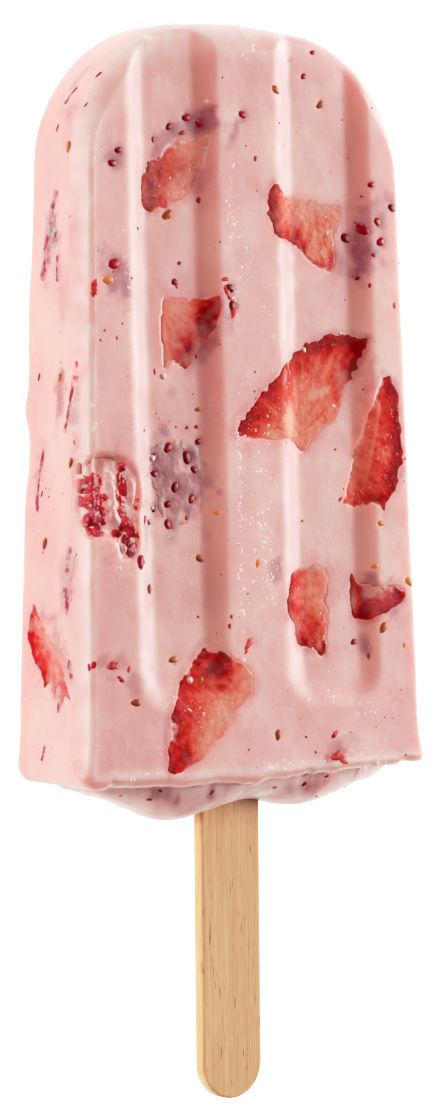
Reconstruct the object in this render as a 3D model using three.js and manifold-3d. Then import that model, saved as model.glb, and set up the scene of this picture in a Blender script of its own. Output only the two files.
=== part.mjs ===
// Strawberry yoghurt ice lolly, lying on its back with its fruit side up.
// Millimetres. X runs across the lolly, +Y from the stick towards the tip, +Z up; the back rests on z = 0.
import * as THREE from 'three';
import { mergeVertices } from 'three/addons/utils/BufferGeometryUtils.js';
import Module from 'manifold-3d';

// Moulded block
const blockLength = 104;      // rim to tip
const rimWidth = 58.6;
const tipWidth = 53.4;
const rimThick = 17.4;
const tipThick = 12.4;
const tipRadius = 19;         // outline corners at the tip
const rimRadius = 2.6;        // outline corners at the rim
const crown = 0.5;            // rise of the tip edge at its middle
const edgeRound = 2.2;        // long edges, front and back
const tipRound = 3.6;         // edges round the tip
const rimRound = 1.5;         // edges at the rim

// Flutes, two on each face
const ribHalf = 5.1;          // half of the middle rib
const fluteWidth = 15.1;
const fluteDepth = 1.3;
const fluteWall = 3.3;        // width of the sloping wall
const fluteEnd = 9.6;         // distance from the rim to the flute's end
const fluteCorner = 5.4;

// Frozen swell under the rim
const swellHalfWidth = 27.4;
const swellHalfThick = 7.4;
const swellBase = 1.6;
const swellLobes = [[-11, 9.5, 4.2], [12, 9, 3.2]];   // place, spread, extra drop

// Stick
const stickLength = 114;
const stickWidth = 10;
const stickThick = 2;
const stickOut = 44.6;        // length beyond the rim
const stickEdge = 0.3;

const gap = 0.3;              // between any two pieces
const sliceDepth = 3.5;       // how far a fruit slice reaches below the face

const yCentre = (blockLength - stickOut) / 2;
const tilt = Math.atan((rimThick - tipThick) / 2 / blockLength);
const y = (v) => v - yCentre;
const thickAt = (v) => rimThick + (tipThick - rimThick) * v / blockLength;
const halfWidthAt = (v) => (rimWidth + (tipWidth - rimWidth) * v / blockLength) / 2;
const smooth = (t) => { const c = Math.min(1, Math.max(0, t)); return c * c * (3 - 2 * c); };

const wasm = await Module();
wasm.setup();
const { Manifold, Mesh } = wasm;

// A closed body from rings of equal length, capped at both ends.
function ringSolid(rings, plane) {
  const n = rings[0].length;
  const points = rings.flat();
  const index = [];
  for (let r = 0; r + 1 < rings.length; r++) {
    for (let k = 0; k < n; k++) {
      const a = r * n + k, b = r * n + (k + 1) % n;
      index.push(a, b, b + n, a, b + n, a + n);
    }
  }
  const caps = [[0, true], [(rings.length - 1) * n, false]];
  for (const [start, flip] of caps) {
    const flat = points.slice(start, start + n).map(plane);
    const clockwise = THREE.ShapeUtils.area(flat) < 0;
    for (const t of THREE.ShapeUtils.triangulateShape(flat, [])) {
      const [a, b, c] = t.map((i) => i + start);
      index.push(...(flip !== clockwise ? [a, c, b] : [a, b, c]));
    }
  }
  let volume = 0;
  for (let i = 0; i < index.length; i += 3) {
    const [a, b, c] = [points[index[i]], points[index[i + 1]], points[index[i + 2]]];
    volume += a.dot(b.clone().cross(c));
  }
  if (volume < 0) {
    for (let i = 0; i < index.length; i += 3) [index[i], index[i + 1]] = [index[i + 1], index[i]];
  }
  const vertProperties = new Float32Array(points.flatMap((p) => [p.x, p.y, p.z]));
  return new Manifold(new Mesh({ numProp: 3, vertProperties, triVerts: new Uint32Array(index) }));
}
const flatXY = (p) => new THREE.Vector2(p.x, p.y);
const flatXZ = (p) => new THREE.Vector2(p.x, p.z);
const flatYZ = (p) => new THREE.Vector2(p.y, p.z);

// Block outline in (u, v), anticlockwise, each point with its outward normal and edge rounding.
function blockOutline() {
  const side = Math.atan((rimWidth - tipWidth) / 2 / blockLength);
  const out = [];
  const add = (u, v, angle, round) => out.push({ u, v, nu: Math.cos(angle), nv: Math.sin(angle), round });
  const quarter = Math.PI / 2;
  const arc = (cu, cv, radius, from, to, steps, roundAt) => {
    for (let i = 0; i <= steps; i++) {
      const t = i / steps, a = from + (to - from) * t;
      add(cu + radius * Math.cos(a), cv + radius * Math.sin(a), a, roundAt(t));
    }
  };
  const tipCu = halfWidthAt(blockLength - tipRadius) - tipRadius / Math.cos(side);
  const tipCv = blockLength - tipRadius - crown;
  const rimCu = halfWidthAt(rimRadius) - rimRadius / Math.cos(side);
  const straight = (from, to) => {
    for (let i = 1; i < 5; i++) {
      const t = i / 5;
      add(from.u + (to.u - from.u) * t, from.v + (to.v - from.v) * t, from.angle, edgeRound);
    }
  };
  const sideFrom = { u: rimCu + rimRadius * Math.cos(side), v: rimRadius * (1 + Math.sin(side)), angle: side };
  const sideTo = { u: tipCu + tipRadius * Math.cos(side), v: tipCv + tipRadius * Math.sin(side) };
  const mirror = (p) => ({ ...p, u: -p.u, nu: -p.nu });
  arc(rimCu, rimRadius, rimRadius, -quarter, side, 4, (t) => rimRound + (edgeRound - rimRound) * t);
  straight(sideFrom, sideTo);
  arc(tipCu, tipCv, tipRadius, side, quarter, 10, (t) => edgeRound + (tipRound - edgeRound) * smooth(t));
  const right = out.slice();
  const middle = [];
  for (let i = -2; i <= 2; i++) {
    const u = -tipCu * i / 3;
    middle.push({ u, v: blockLength - crown * (u / tipCu) ** 2, nu: 0, nv: 1, round: tipRound });
  }
  const left = right.map(mirror).reverse();
  const rim = [-2, -1, 0, 1, 2].map((i) => ({ u: rimCu * i / 3, v: 0, nu: 0, nv: -1, round: rimRound }));
  return [...right, ...middle, ...left, ...rim];
}

function blank() {
  const outline = blockOutline();
  const steps = 5;
  const ring = (t, front) => outline.map((p) => {
    const a = t * Math.PI / 2;
    const inset = p.round * (1 - Math.sin(a));
    const u = p.u - p.nu * inset, v = p.v - p.nv * inset;
    const rise = p.round * (1 - Math.cos(a));
    return new THREE.Vector3(u, y(v), front ? thickAt(v) - rise : rise);
  });
  const levels = [];
  for (let i = 0; i <= steps; i++) levels.push(ring(i / steps, false));
  for (let i = steps; i >= 0; i--) levels.push(ring(i / steps, true));
  return ringSolid(levels, flatXY);
}

// One flute: a trough with S-shaped walls, rounded at the rim end and open at the tip.
function flute(sideSign, front) {
  const centre = sideSign * (ribHalf + fluteWidth / 2);
  const half = fluteWidth / 2;
  const levels = [];
  const rows = 6;
  const ring = (inset, lift) => {
    const points = [];
    const far = blockLength + 4;
    const radius = fluteCorner - inset;
    const add = (du, v) => {
      const z = thickAt(v) - lift;
      points.push(new THREE.Vector3(centre + du, y(v), front ? z : lift));
    };
    add(half - inset, far);
    add(-half + inset, far);
    for (let i = 0; i <= 6; i++) {
      const a = Math.PI + Math.PI / 2 * i / 6;
      add(-half + fluteCorner + radius * Math.cos(a), fluteEnd + fluteCorner + radius * Math.sin(a));
    }
    for (let i = 0; i <= 6; i++) {
      const a = -Math.PI / 2 + Math.PI / 2 * i / 6;
      add(half - fluteCorner + radius * Math.cos(a), fluteEnd + fluteCorner + radius * Math.sin(a));
    }
    return points;
  };
  levels.push(ring(-0.5, -3), ring(-0.2, -0.05));
  for (let i = 1; i <= rows; i++) levels.push(ring(fluteWall * i / rows, fluteDepth * smooth(i / rows)));
  return ringSolid(levels, flatXY);
}

// Frozen swell: a shallow cushion of two lobes that hangs below the rim.
function swell() {
  const drop = (u, q) => {
    const lobes = swellLobes.reduce((s, [at, spread, extra]) => s + extra * Math.exp(-(((u - at) / spread) ** 2)), 0);
    return (swellBase + lobes) * Math.pow(Math.max(0, 1 - q ** 2.4), 0.6);
  };
  const ring = (q, v) => {
    const points = [];
    for (let i = 0; i < 40; i++) {
      const a = i / 40 * 2 * Math.PI;
      const u = swellHalfWidth * q * Math.cos(a);
      points.push(new THREE.Vector3(u, y(v ?? -drop(u, q)), rimThick / 2 + swellHalfThick * q * Math.sin(a)));
    }
    return points;
  };
  return ringSolid([ring(0.98, 2), ...[1, 0.98, 0.93, 0.84, 0.7, 0.5, 0.25].map((q) => ring(q))], flatXZ);
}

// Stick with round ends and softened edges; grow widens every side.
function stick(grow, overshoot) {
  const half = stickWidth / 2;
  const ring = (inset, z) => {
    const points = [];
    for (const end of [1, -1]) {
      for (let i = 0; i <= 12; i++) {
        const a = (end > 0 ? 0 : Math.PI) + Math.PI * i / 12;
        const reach = stickLength / 2 - half + (end < 0 ? overshoot : 0);
        const radius = half + grow - inset;
        points.push(new THREE.Vector3(radius * Math.cos(a), end * reach + radius * Math.sin(a), z));
      }
    }
    return points;
  };
  const top = stickThick / 2 + grow;
  const body = ringSolid([ring(stickEdge, -top), ring(0, -top + stickEdge), ring(0, top - stickEdge),
    ring(stickEdge, top)], flatXY);
  const middle = stickLength / 2 - stickOut;
  return body.rotate([-THREE.MathUtils.radToDeg(tilt), 0, 0])
    .translate([0, y(middle), rimThick / 2 - middle * Math.tan(tilt)]);
}

// Fruit slices: corners of each cut face in (u, v), joined by a soft closed curve.
const slices = {
  berry_slice_upper_left: [[-16.4, 78.3], [-16.3, 82.6], [-12.3, 86.9], [-5.6, 89.2], [-6.2, 84.6], [-10.2, 79.6]],
  berry_slice_upper_right: [[4.4, 81.6], [10.5, 80.9], [17.2, 79.4], [15.7, 74], [15.4, 70.2], [9.2, 73.8], [4.2, 77.4]],
  berry_wedge_middle: [[-14.4, 65.8], [-5.2, 66.2], [-6.6, 60.9], [-10.4, 56.3], [-14.4, 56.4]],
  berry_fan_centre: [[-2.9, 47.5], [2.1, 53.6], [10, 59.9], [19.6, 61], [16.2, 51.8], [10.2, 45.7], [3.5, 46.5]],
  berry_slice_right: [[22.8, 55.2], [25.3, 52.4], [25.6, 43.6], [22.8, 38], [14.9, 38.3], [18.9, 47.8]],
  berry_chunk_left: [[-28.2, 42.8], [-21.5, 43.8], [-18.8, 40], [-19.3, 33.2], [-22.3, 31.4], [-27.4, 34.4]],
  berry_skin_patch: [[-16.4, 46.2], [-9, 47.3], [-7.6, 40.6], [-9.4, 35.2], [-15.6, 35.8], [-17, 41]],
  berry_slice_lower_right: [[6.9, 28.4], [12.9, 29.2], [13.2, 21.8], [11.8, 16.9], [7.2, 19], [5.4, 24.2]],
  berry_bit_right: [[17.7, 27.8], [21.6, 26], [25.4, 25.1], [20.6, 22.3], [17.1, 22.8]],
  berry_slice_base: [[-8.2, 18], [-1, 14.2], [-5.1, 8], [-12.9, 2], [-14.8, 3.4], [-12.8, 11.3]],
};
// The slice on the left wall, corners in (z, v).
const sideSlice = [[4.2, 23.8], [8.8, 20], [12.6, 13.8], [11.6, 12.2], [5.6, 14.6], [3, 19.6]];

function softCurve(corners, grow) {
  const loop = corners.map(([a, b]) => new THREE.Vector3(a, b, 0));
  const points = new THREE.CatmullRomCurve3(loop, true, 'catmullrom', 0.35).getPoints(26).slice(0, -1);
  const area = THREE.ShapeUtils.area(points);
  return points.map((p, i) => {
    const before = points[(i + points.length - 1) % points.length];
    const along = points[(i + 1) % points.length].clone().sub(before).normalize().multiplyScalar(Math.sign(area));
    return [p.x + along.y * grow, p.y - along.x * grow];
  });
}
function faceSlice(corners, grow) {
  const curve = softCurve(corners, grow);
  const ring = (depth) => curve.map(([u, v]) => new THREE.Vector3(u, y(v), thickAt(v) - depth));
  return ringSolid([ring(sliceDepth + grow), ring(-3)], flatXY);
}
function wallSlice(corners, grow) {
  const curve = softCurve(corners, grow);
  const ring = (depth) => curve.map(([z, v]) => new THREE.Vector3(-halfWidthAt(v) + depth, y(v), z));
  return ringSolid([ring(sliceDepth + grow), ring(-3)], flatYZ);
}

let block = blank().add(swell());
for (const sideSign of [-1, 1]) {
  for (const front of [true, false]) block = block.subtract(flute(sideSign, front));
}
const pieces = Object.entries(slices).map(([name, corners]) => [name, (grow) => faceSlice(corners, grow)]);
pieces.push(['berry_slice_side', (grow) => wallSlice(sideSlice, grow)]);
let ice = block.subtract(stick(gap, 20));
for (const [, make] of pieces) ice = ice.subtract(make(gap));

const looks = {
  ice: { color: 0xeec0b6, roughness: 0.35 },
  berry: { color: 0xb8332c, roughness: 0.35 },
  skin: { color: 0x9a4a58, roughness: 0.4 },
  wood: { color: 0xd2a674, roughness: 0.75 },
};
const group = new THREE.Group();
function place(name, solid, look) {
  const { vertProperties, triVerts } = solid.getMesh();
  const geometry = new THREE.BufferGeometry();
  geometry.setAttribute('position', new THREE.BufferAttribute(new Float32Array(vertProperties), 3));
  geometry.setIndex(new THREE.BufferAttribute(new Uint32Array(triVerts), 1));
  const merged = mergeVertices(geometry, 1e-5);
  merged.computeVertexNormals();
  const mesh = new THREE.Mesh(merged, new THREE.MeshStandardMaterial({ ...looks[look], metalness: 0 }));
  mesh.name = name;
  group.add(mesh);
}
place('ice_block', ice, 'ice');
place('stick', stick(0, 0), 'wood');
for (const [name, make] of pieces) {
  place(name, make(0).intersect(block), name === 'berry_skin_patch' ? 'skin' : 'berry');
}

export default group;
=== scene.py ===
# Strawberry yoghurt ice lolly lying on its back, fruit side up.
# The moulded block, its fruit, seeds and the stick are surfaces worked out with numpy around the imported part.
import math
import bpy
import numpy as np
from mathutils import Matrix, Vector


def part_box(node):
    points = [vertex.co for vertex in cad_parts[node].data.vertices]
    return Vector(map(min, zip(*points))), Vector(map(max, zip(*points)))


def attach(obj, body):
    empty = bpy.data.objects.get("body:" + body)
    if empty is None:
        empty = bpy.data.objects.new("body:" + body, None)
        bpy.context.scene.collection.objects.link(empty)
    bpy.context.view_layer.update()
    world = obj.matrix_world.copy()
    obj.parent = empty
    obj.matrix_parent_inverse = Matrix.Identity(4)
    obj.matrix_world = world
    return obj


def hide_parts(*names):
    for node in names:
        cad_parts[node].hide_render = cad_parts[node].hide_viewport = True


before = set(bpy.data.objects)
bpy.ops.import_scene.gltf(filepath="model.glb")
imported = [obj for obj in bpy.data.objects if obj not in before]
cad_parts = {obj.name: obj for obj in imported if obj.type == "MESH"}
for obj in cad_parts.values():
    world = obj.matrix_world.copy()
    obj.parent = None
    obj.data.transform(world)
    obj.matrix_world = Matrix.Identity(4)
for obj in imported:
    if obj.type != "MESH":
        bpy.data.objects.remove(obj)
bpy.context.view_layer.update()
scene = bpy.context.scene
scene.view_settings.view_transform = "Standard"
scene.view_settings.look = "None"

# soft shoulder of the picture: (light in, light out)
shoulder = [(0.25, 0.25), (0.5, 0.49), (0.65, 0.605), (0.8, 0.69), (1.0, 0.765), (1.2, 0.835), (1.4, 0.89), (1.7, 0.95)]
shoulderEnd = 2.2


def softenHighlights():
    # the curve runs over 0 to 1, so the light that comes in is counted in parts of shoulderEnd
    scene.view_settings.use_curve_mapping = True
    mapping = scene.view_settings.curve_mapping
    mapping.white_level = (shoulderEnd, shoulderEnd, shoulderEnd)
    curve = mapping.curves[3]
    for light, shown in shoulder:
        curve.points.new(light / shoulderEnd, shown)
    mapping.update()


softenHighlights()

# ---------- camera: looks down at the lolly from its left ----------
view = {"lean": 35.283, "pitch": 1.377, "roll": -0.26, "distance": 493.64, "aimX": -0.35, "aimY": 0.389, "aimZ": 8.0,
        "lens": 114.32}


def placeCamera(v):
    # back = the unit vector from the aim to the camera, leaned about Y then pitched; right and up complete it, then roll
    lean, pitch, roll = (math.radians(v[k]) for k in ("lean", "pitch", "roll"))
    back = np.array([-math.sin(lean) * math.cos(pitch), math.sin(pitch), math.cos(lean) * math.cos(pitch)])
    right = np.array([math.cos(lean), 0.0, math.sin(lean)])
    up = np.cross(back, right)
    turnedRight = right * math.cos(roll) - up * math.sin(roll)
    turnedUp = right * math.sin(roll) + up * math.cos(roll)
    place = (np.array([v["aimX"], v["aimY"], v["aimZ"]]) + back * v["distance"]) * 0.001
    data = bpy.data.cameras.new("camera")
    data.lens = v["lens"]
    data.sensor_width = 36.0
    data.clip_start = 0.01
    data.clip_end = 20.0
    camera = bpy.data.objects.new("camera", data)
    matrix = np.eye(4)
    matrix[:3, 0], matrix[:3, 1], matrix[:3, 2], matrix[:3, 3] = turnedRight, turnedUp, back, place
    camera.matrix_world = Matrix(matrix.tolist())
    scene.collection.objects.link(camera)
    scene.camera = camera


placeCamera(view)
print("camera placed")

# ---------- the mould, in millimetres; v runs from the rim (0) to the tip ----------
mould = {"length": 104.0, "rimWidth": 58.6, "tipWidth": 53.4, "rimThick": 17.4, "tipThick": 12.4,
         "tipRadius": 19.0, "rimRadius": 2.6, "crown": 0.5, "edgeRound": 1.7, "edgeFall": 3.1, "tipRound": 3.6,
         "rimRound": 1.1, "flutes": [(-20.6, -4.4), (4.1, 21.6)], "fluteDepth": 1.45, "leftWall": 5.0, "rightWall": 4.3,
         "fluteEnd": 9.4, "fluteCorner": 5.4}
swell = {"halfWidth": 27.4, "halfThick": 7.4, "base": 1.6, "lobes": [(-11.0, 9.5, 4.2), (12.0, 9.0, 3.2)]}

blockLow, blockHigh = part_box("ice_block")
rimY = blockHigh.y * 1000 - mould["length"]
sideLean = math.atan((mould["rimWidth"] - mould["tipWidth"]) / 2 / mould["length"])


def smooth(t):
    # 0 to 1, flat at both ends: t squared times (3 - 2t)
    c = np.clip(t, 0.0, 1.0)
    return c * c * (3 - 2 * c)


noiseTables = {}


def cloud(x, y, z, size, seed):
    # smooth noise from -1 to 1: random numbers on a lattice of the given size, blended between corners
    if seed not in noiseTables:
        noiseTables[seed] = np.random.default_rng(seed).uniform(-1, 1, (64, 64, 64))
    table = noiseTables[seed]
    x, y, z = np.broadcast_arrays(np.asarray(x, float), y, z)
    px, py, pz = x / size + 101.3, y / size + 57.7, z / size + 33.1
    ix, iy, iz = (np.floor(p).astype(int) for p in (px, py, pz))
    fx, fy, fz = smooth(px - ix), smooth(py - iy), smooth(pz - iz)
    total = np.zeros(x.shape)
    for dx in (0, 1):
        for dy in (0, 1):
            for dz in (0, 1):
                weight = (fx if dx else 1 - fx) * (fy if dy else 1 - fy) * (fz if dz else 1 - fz)
                total = total + weight * table[(ix + dx) % 64, (iy + dy) % 64, (iz + dz) % 64]
    return total


def thickAt(v):
    return mould["rimThick"] + (mould["tipThick"] - mould["rimThick"]) * v / mould["length"]


def sideAt(v):
    return (mould["rimWidth"] + (mould["tipWidth"] - mould["rimWidth"]) * v / mould["length"]) / 2


tipCentreV = mould["length"] - mould["tipRadius"] - mould["crown"]
tipCentreU = sideAt(mould["length"] - mould["tipRadius"]) - mould["tipRadius"] / math.cos(sideLean)
rimCentreU = sideAt(mould["rimRadius"]) - mould["rimRadius"] / math.cos(sideLean)


def halfWidth(v):
    # straight tapering side, a circle of tipRadius at the tip corners and of rimRadius at the rim corners
    v = np.asarray(v, float)
    tip = np.sqrt(np.maximum(mould["tipRadius"] ** 2 - np.maximum(v - tipCentreV, 0) ** 2, 0))
    rim = np.sqrt(np.maximum(mould["rimRadius"] ** 2 - np.maximum(mould["rimRadius"] - v, 0) ** 2, 0))
    width = sideAt(v)
    width = np.where(v > tipCentreV + mould["tipRadius"] * math.sin(sideLean), tipCentreU + tip, width)
    return np.where(v < mould["rimRadius"] * (1 + math.sin(sideLean)), rimCentreU + rim, width)


def edgeInside(u, v):
    # distance in from the block's outline: nearest of side, tip and rim, and the circles' own distance at the corners
    au = np.abs(u)
    side = (sideAt(v) - au) * math.cos(sideLean)
    flat = np.minimum(side, np.minimum(mould["length"] - mould["crown"] - v, v))
    tip = mould["tipRadius"] - np.hypot(au - tipCentreU, v - tipCentreV)
    rim = mould["rimRadius"] - np.hypot(au - rimCentreU, v - mould["rimRadius"])
    inside = np.where((au > tipCentreU) & (v > tipCentreV), tip, flat)
    inside = np.where((au > rimCentreU) & (v < mould["rimRadius"]), rim, inside)
    return np.maximum(inside, 0.0)


def edgeRadius(v):
    # rounding of the face edge: small at the rim, larger round the tip
    low = mould["rimRound"] + (mould["edgeRound"] - mould["rimRound"]) * smooth(v / 8)
    return low + (mould["tipRound"] - mould["edgeRound"]) * smooth((v - tipCentreV) / (0.7 * mould["tipRadius"]))


def filletDrop(u, v, worn):
    # a quarter circle of the edge radius: drop = r - sqrt(r squared - (r - inside) squared); where worn is 1 the sides
    # have a steep slope instead: drop = edgeFall times (1 - inside / r) to the 1.25
    r = edgeRadius(v)
    short = np.clip(r - edgeInside(u, v), 0.0, r)
    circle = r - np.sqrt(np.maximum(r * r - short * short, 0.0))
    slope = mould["edgeFall"] * (short / r) ** 1.25
    along = worn * smooth(v / 5) * (1 - smooth((v - tipCentreV) / (0.7 * mould["tipRadius"])))
    return circle + (slope - circle) * along


def fluteInside(u, v, low, high):
    # distance in from a flute's outline: a strip open at the tip whose rim end has round corners
    half, corner = (high - low) / 2, mould["fluteCorner"]
    across = np.abs(u - (low + high) / 2)
    dx, dy = across - (half - corner), mould["fluteEnd"] + corner - v
    outer = np.hypot(np.maximum(dx, 0), np.maximum(dy, 0)) + np.minimum(np.maximum(dx, dy), 0)
    return corner - outer


def fluteDrop(u, v):
    # the flute runs out softly towards the rim: half its depth at its end, all of it 16 mm further;
    # its wall is t cubed times (6 t squared - 15 t + 10), wider on the left than on the right
    deep = mould["fluteDepth"] * (0.5 + 0.5 * smooth((v - mould["fluteEnd"]) / 16))
    total = 0.0
    for low, high in mould["flutes"]:
        wall = mould["leftWall"] + (mould["rightWall"] - mould["leftWall"]) * smooth((u - low) / (high - low))
        t = np.clip(fluteInside(u, v, low, high) / wall, 0, 1)
        total = total + deep * t ** 3 * (6 * t * t - 15 * t + 10)
    return total


def faceDrop(u, v):
    # edge rounding and flute together, the deeper one winning softly: fourth root of the sum of fourth powers
    return (filletDrop(u, v, 1.0) ** 4 + fluteDrop(u, v) ** 4) ** 0.25


def backDrop(u, v):
    return (filletDrop(u, v, 0.0) ** 4 + fluteDrop(u, v) ** 4) ** 0.25


# Frozen skin: slow unevenness, small lumps and the fine pitting of ice crystals
skin = {"slow": 0.11, "lump": 0.045, "fine": 0.012}


def relief(x, v, z):
    slow = cloud(x, v * 0.6, z, 9.0, 11) * skin["slow"]
    lump = cloud(x, v * 0.8, z, 3.4, 12) * skin["lump"]
    fine = cloud(x, v, z, 1.1, 13) * skin["fine"] + cloud(x, v, z, 0.62, 14) * skin["fine"] * 0.5
    return slow + lump + fine


# ---------- mesh helpers ----------
def ringFaces(rows, cols):
    # quads between neighbouring rings (columns wrap round), with a fan of triangles to a pole at each end
    r, c = np.meshgrid(np.arange(rows - 1), np.arange(cols), indexing="ij")
    a, b = r * cols + c, r * cols + (c + 1) % cols
    quads = np.stack([a, b, b + cols, a + cols], -1).reshape(-1, 4)
    ring = np.arange(cols)
    first, last = rows * cols, rows * cols + 1
    startFan = np.stack([(ring + 1) % cols, ring, np.full(cols, first)], -1)
    base = (rows - 1) * cols
    endFan = np.stack([base + ring, base + (ring + 1) % cols, np.full(cols, last)], -1)
    return quads, np.vstack([startFan, endFan])


def closedFromRings(rings):
    # rings (rows, cols, 3) closed at both ends by a pole at the ring's mean; turned so that the faces look outwards
    rows, cols = rings.shape[:2]
    points = np.vstack([rings.reshape(-1, 3), rings[0].mean(0), rings[-1].mean(0)])
    quads, fans = ringFaces(rows, cols)
    tri = np.vstack([quads[:, [0, 1, 2]], quads[:, [0, 2, 3]], fans])
    volume = np.einsum("ij,ij->i", points[tri[:, 0]], np.cross(points[tri[:, 1]], points[tri[:, 2]])).sum()
    if volume < 0:
        quads, fans = quads[:, ::-1], fans[:, ::-1]
    return points, quads, fans


def addPiece(name, points, quads, fans, fields=None):
    # points are millimetres; fields are numbers kept on the points for the finish
    mesh = bpy.data.meshes.new(name)
    faces = np.concatenate([quads.ravel(), fans.ravel()]).astype(np.int32)
    starts = np.concatenate([np.arange(len(quads)) * 4, len(quads) * 4 + np.arange(len(fans)) * 3]).astype(np.int32)
    mesh.vertices.add(len(points))
    mesh.vertices.foreach_set("co", (np.asarray(points) * 0.001).ravel())
    mesh.loops.add(len(faces))
    mesh.loops.foreach_set("vertex_index", faces)
    mesh.polygons.add(len(starts))
    mesh.polygons.foreach_set("loop_start", starts)
    mesh.update(calc_edges=True)
    mesh.validate()
    mesh.polygons.foreach_set("use_smooth", np.ones(len(mesh.polygons), bool))
    for key, values in (fields or {}).items():
        mesh.attributes.new(key, "FLOAT", "POINT").data.foreach_set("value", np.asarray(values, np.float32))
    piece = bpy.data.objects.new(name, mesh)
    scene.collection.objects.link(piece)
    return piece


def joinShapes(shapes):
    # many (points, quads, fans) put into one mesh
    offset, points, quads, fans = 0, [], [], []
    for p, q, f in shapes:
        points.append(p)
        quads.append(q + offset)
        fans.append(f + offset)
        offset += len(p)
    return np.vstack(points), np.vstack(quads), np.vstack(fans)


def closedCurve(corners, count):
    # Catmull-Rom loop through the corners, spaced evenly along its length
    p = np.asarray(corners, float)
    before, after, beyond = np.roll(p, 1, 0), np.roll(p, -1, 0), np.roll(p, -2, 0)
    t = np.linspace(0, 1, 24, endpoint=False)[None, :, None]
    a, b, c, d = (q[:, None, :] for q in (before, p, after, beyond))
    k = 0.36
    m0, m1 = k * (c - a), k * (d - b)
    curve = ((2 * t ** 3 - 3 * t ** 2 + 1) * b + (t ** 3 - 2 * t ** 2 + t) * m0
             + (3 * t ** 2 - 2 * t ** 3) * c + (t ** 3 - t ** 2) * m1).reshape(-1, 2)
    closed = np.vstack([curve, curve[:1]])
    run = np.concatenate([[0], np.cumsum(np.hypot(*np.diff(closed, axis=0).T))])
    even = np.linspace(0, run[-1], count, endpoint=False)
    return np.stack([np.interp(even, run, closed[:, 0]), np.interp(even, run, closed[:, 1])], -1), run[-1]


def lineDistance(a, b, line, closed):
    # distance from points (a, b) to the nearest segment of a line of points
    p = np.stack([np.ravel(a), np.ravel(b)], -1)
    start = np.asarray(line, float)
    end = np.roll(start, -1, 0)
    if not closed:
        start, end = start[:-1], end[:-1]
    best = np.full(len(p), 1e9)
    for s, e in zip(start, end):
        along = e - s
        t = np.clip(((p - s) @ along) / max(along @ along, 1e-9), 0, 1)
        best = np.minimum(best, np.hypot(*(p - s - t[:, None] * along).T))
    return best.reshape(np.shape(a))


def insideLoop(a, b, loop):
    # even-odd test of points (a, b) against a closed loop
    x, y = np.ravel(a), np.ravel(b)
    count = np.zeros(len(x), int)
    for (x0, y0), (x1, y1) in zip(loop, np.roll(loop, -1, 0)):
        crosses = (y0 > y) != (y1 > y)
        at = x0 + (y - y0) * (x1 - x0) / ((y1 - y0) if abs(y1 - y0) > 1e-9 else 1e-9)
        count += (crosses & (x < at)).astype(int)
    return (count % 2 == 1).reshape(np.shape(a))


def loopDistance(a, b, corners, reach):
    # signed distance, positive inside the soft loop through the corners; -reach where further away than that
    loop, _ = closedCurve(corners, 90)
    a, b = np.asarray(a, float), np.asarray(b, float)
    out = np.full(a.shape, -reach)
    low, high = loop.min(0) - reach, loop.max(0) + reach
    near = (a > low[0]) & (a < high[0]) & (b > low[1]) & (b < high[1])
    if near.any():
        d = lineDistance(a[near], b[near], loop, True)
        out[near] = np.where(insideLoop(a[near], b[near], loop), d, np.maximum(-d, -reach))
    return out


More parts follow.
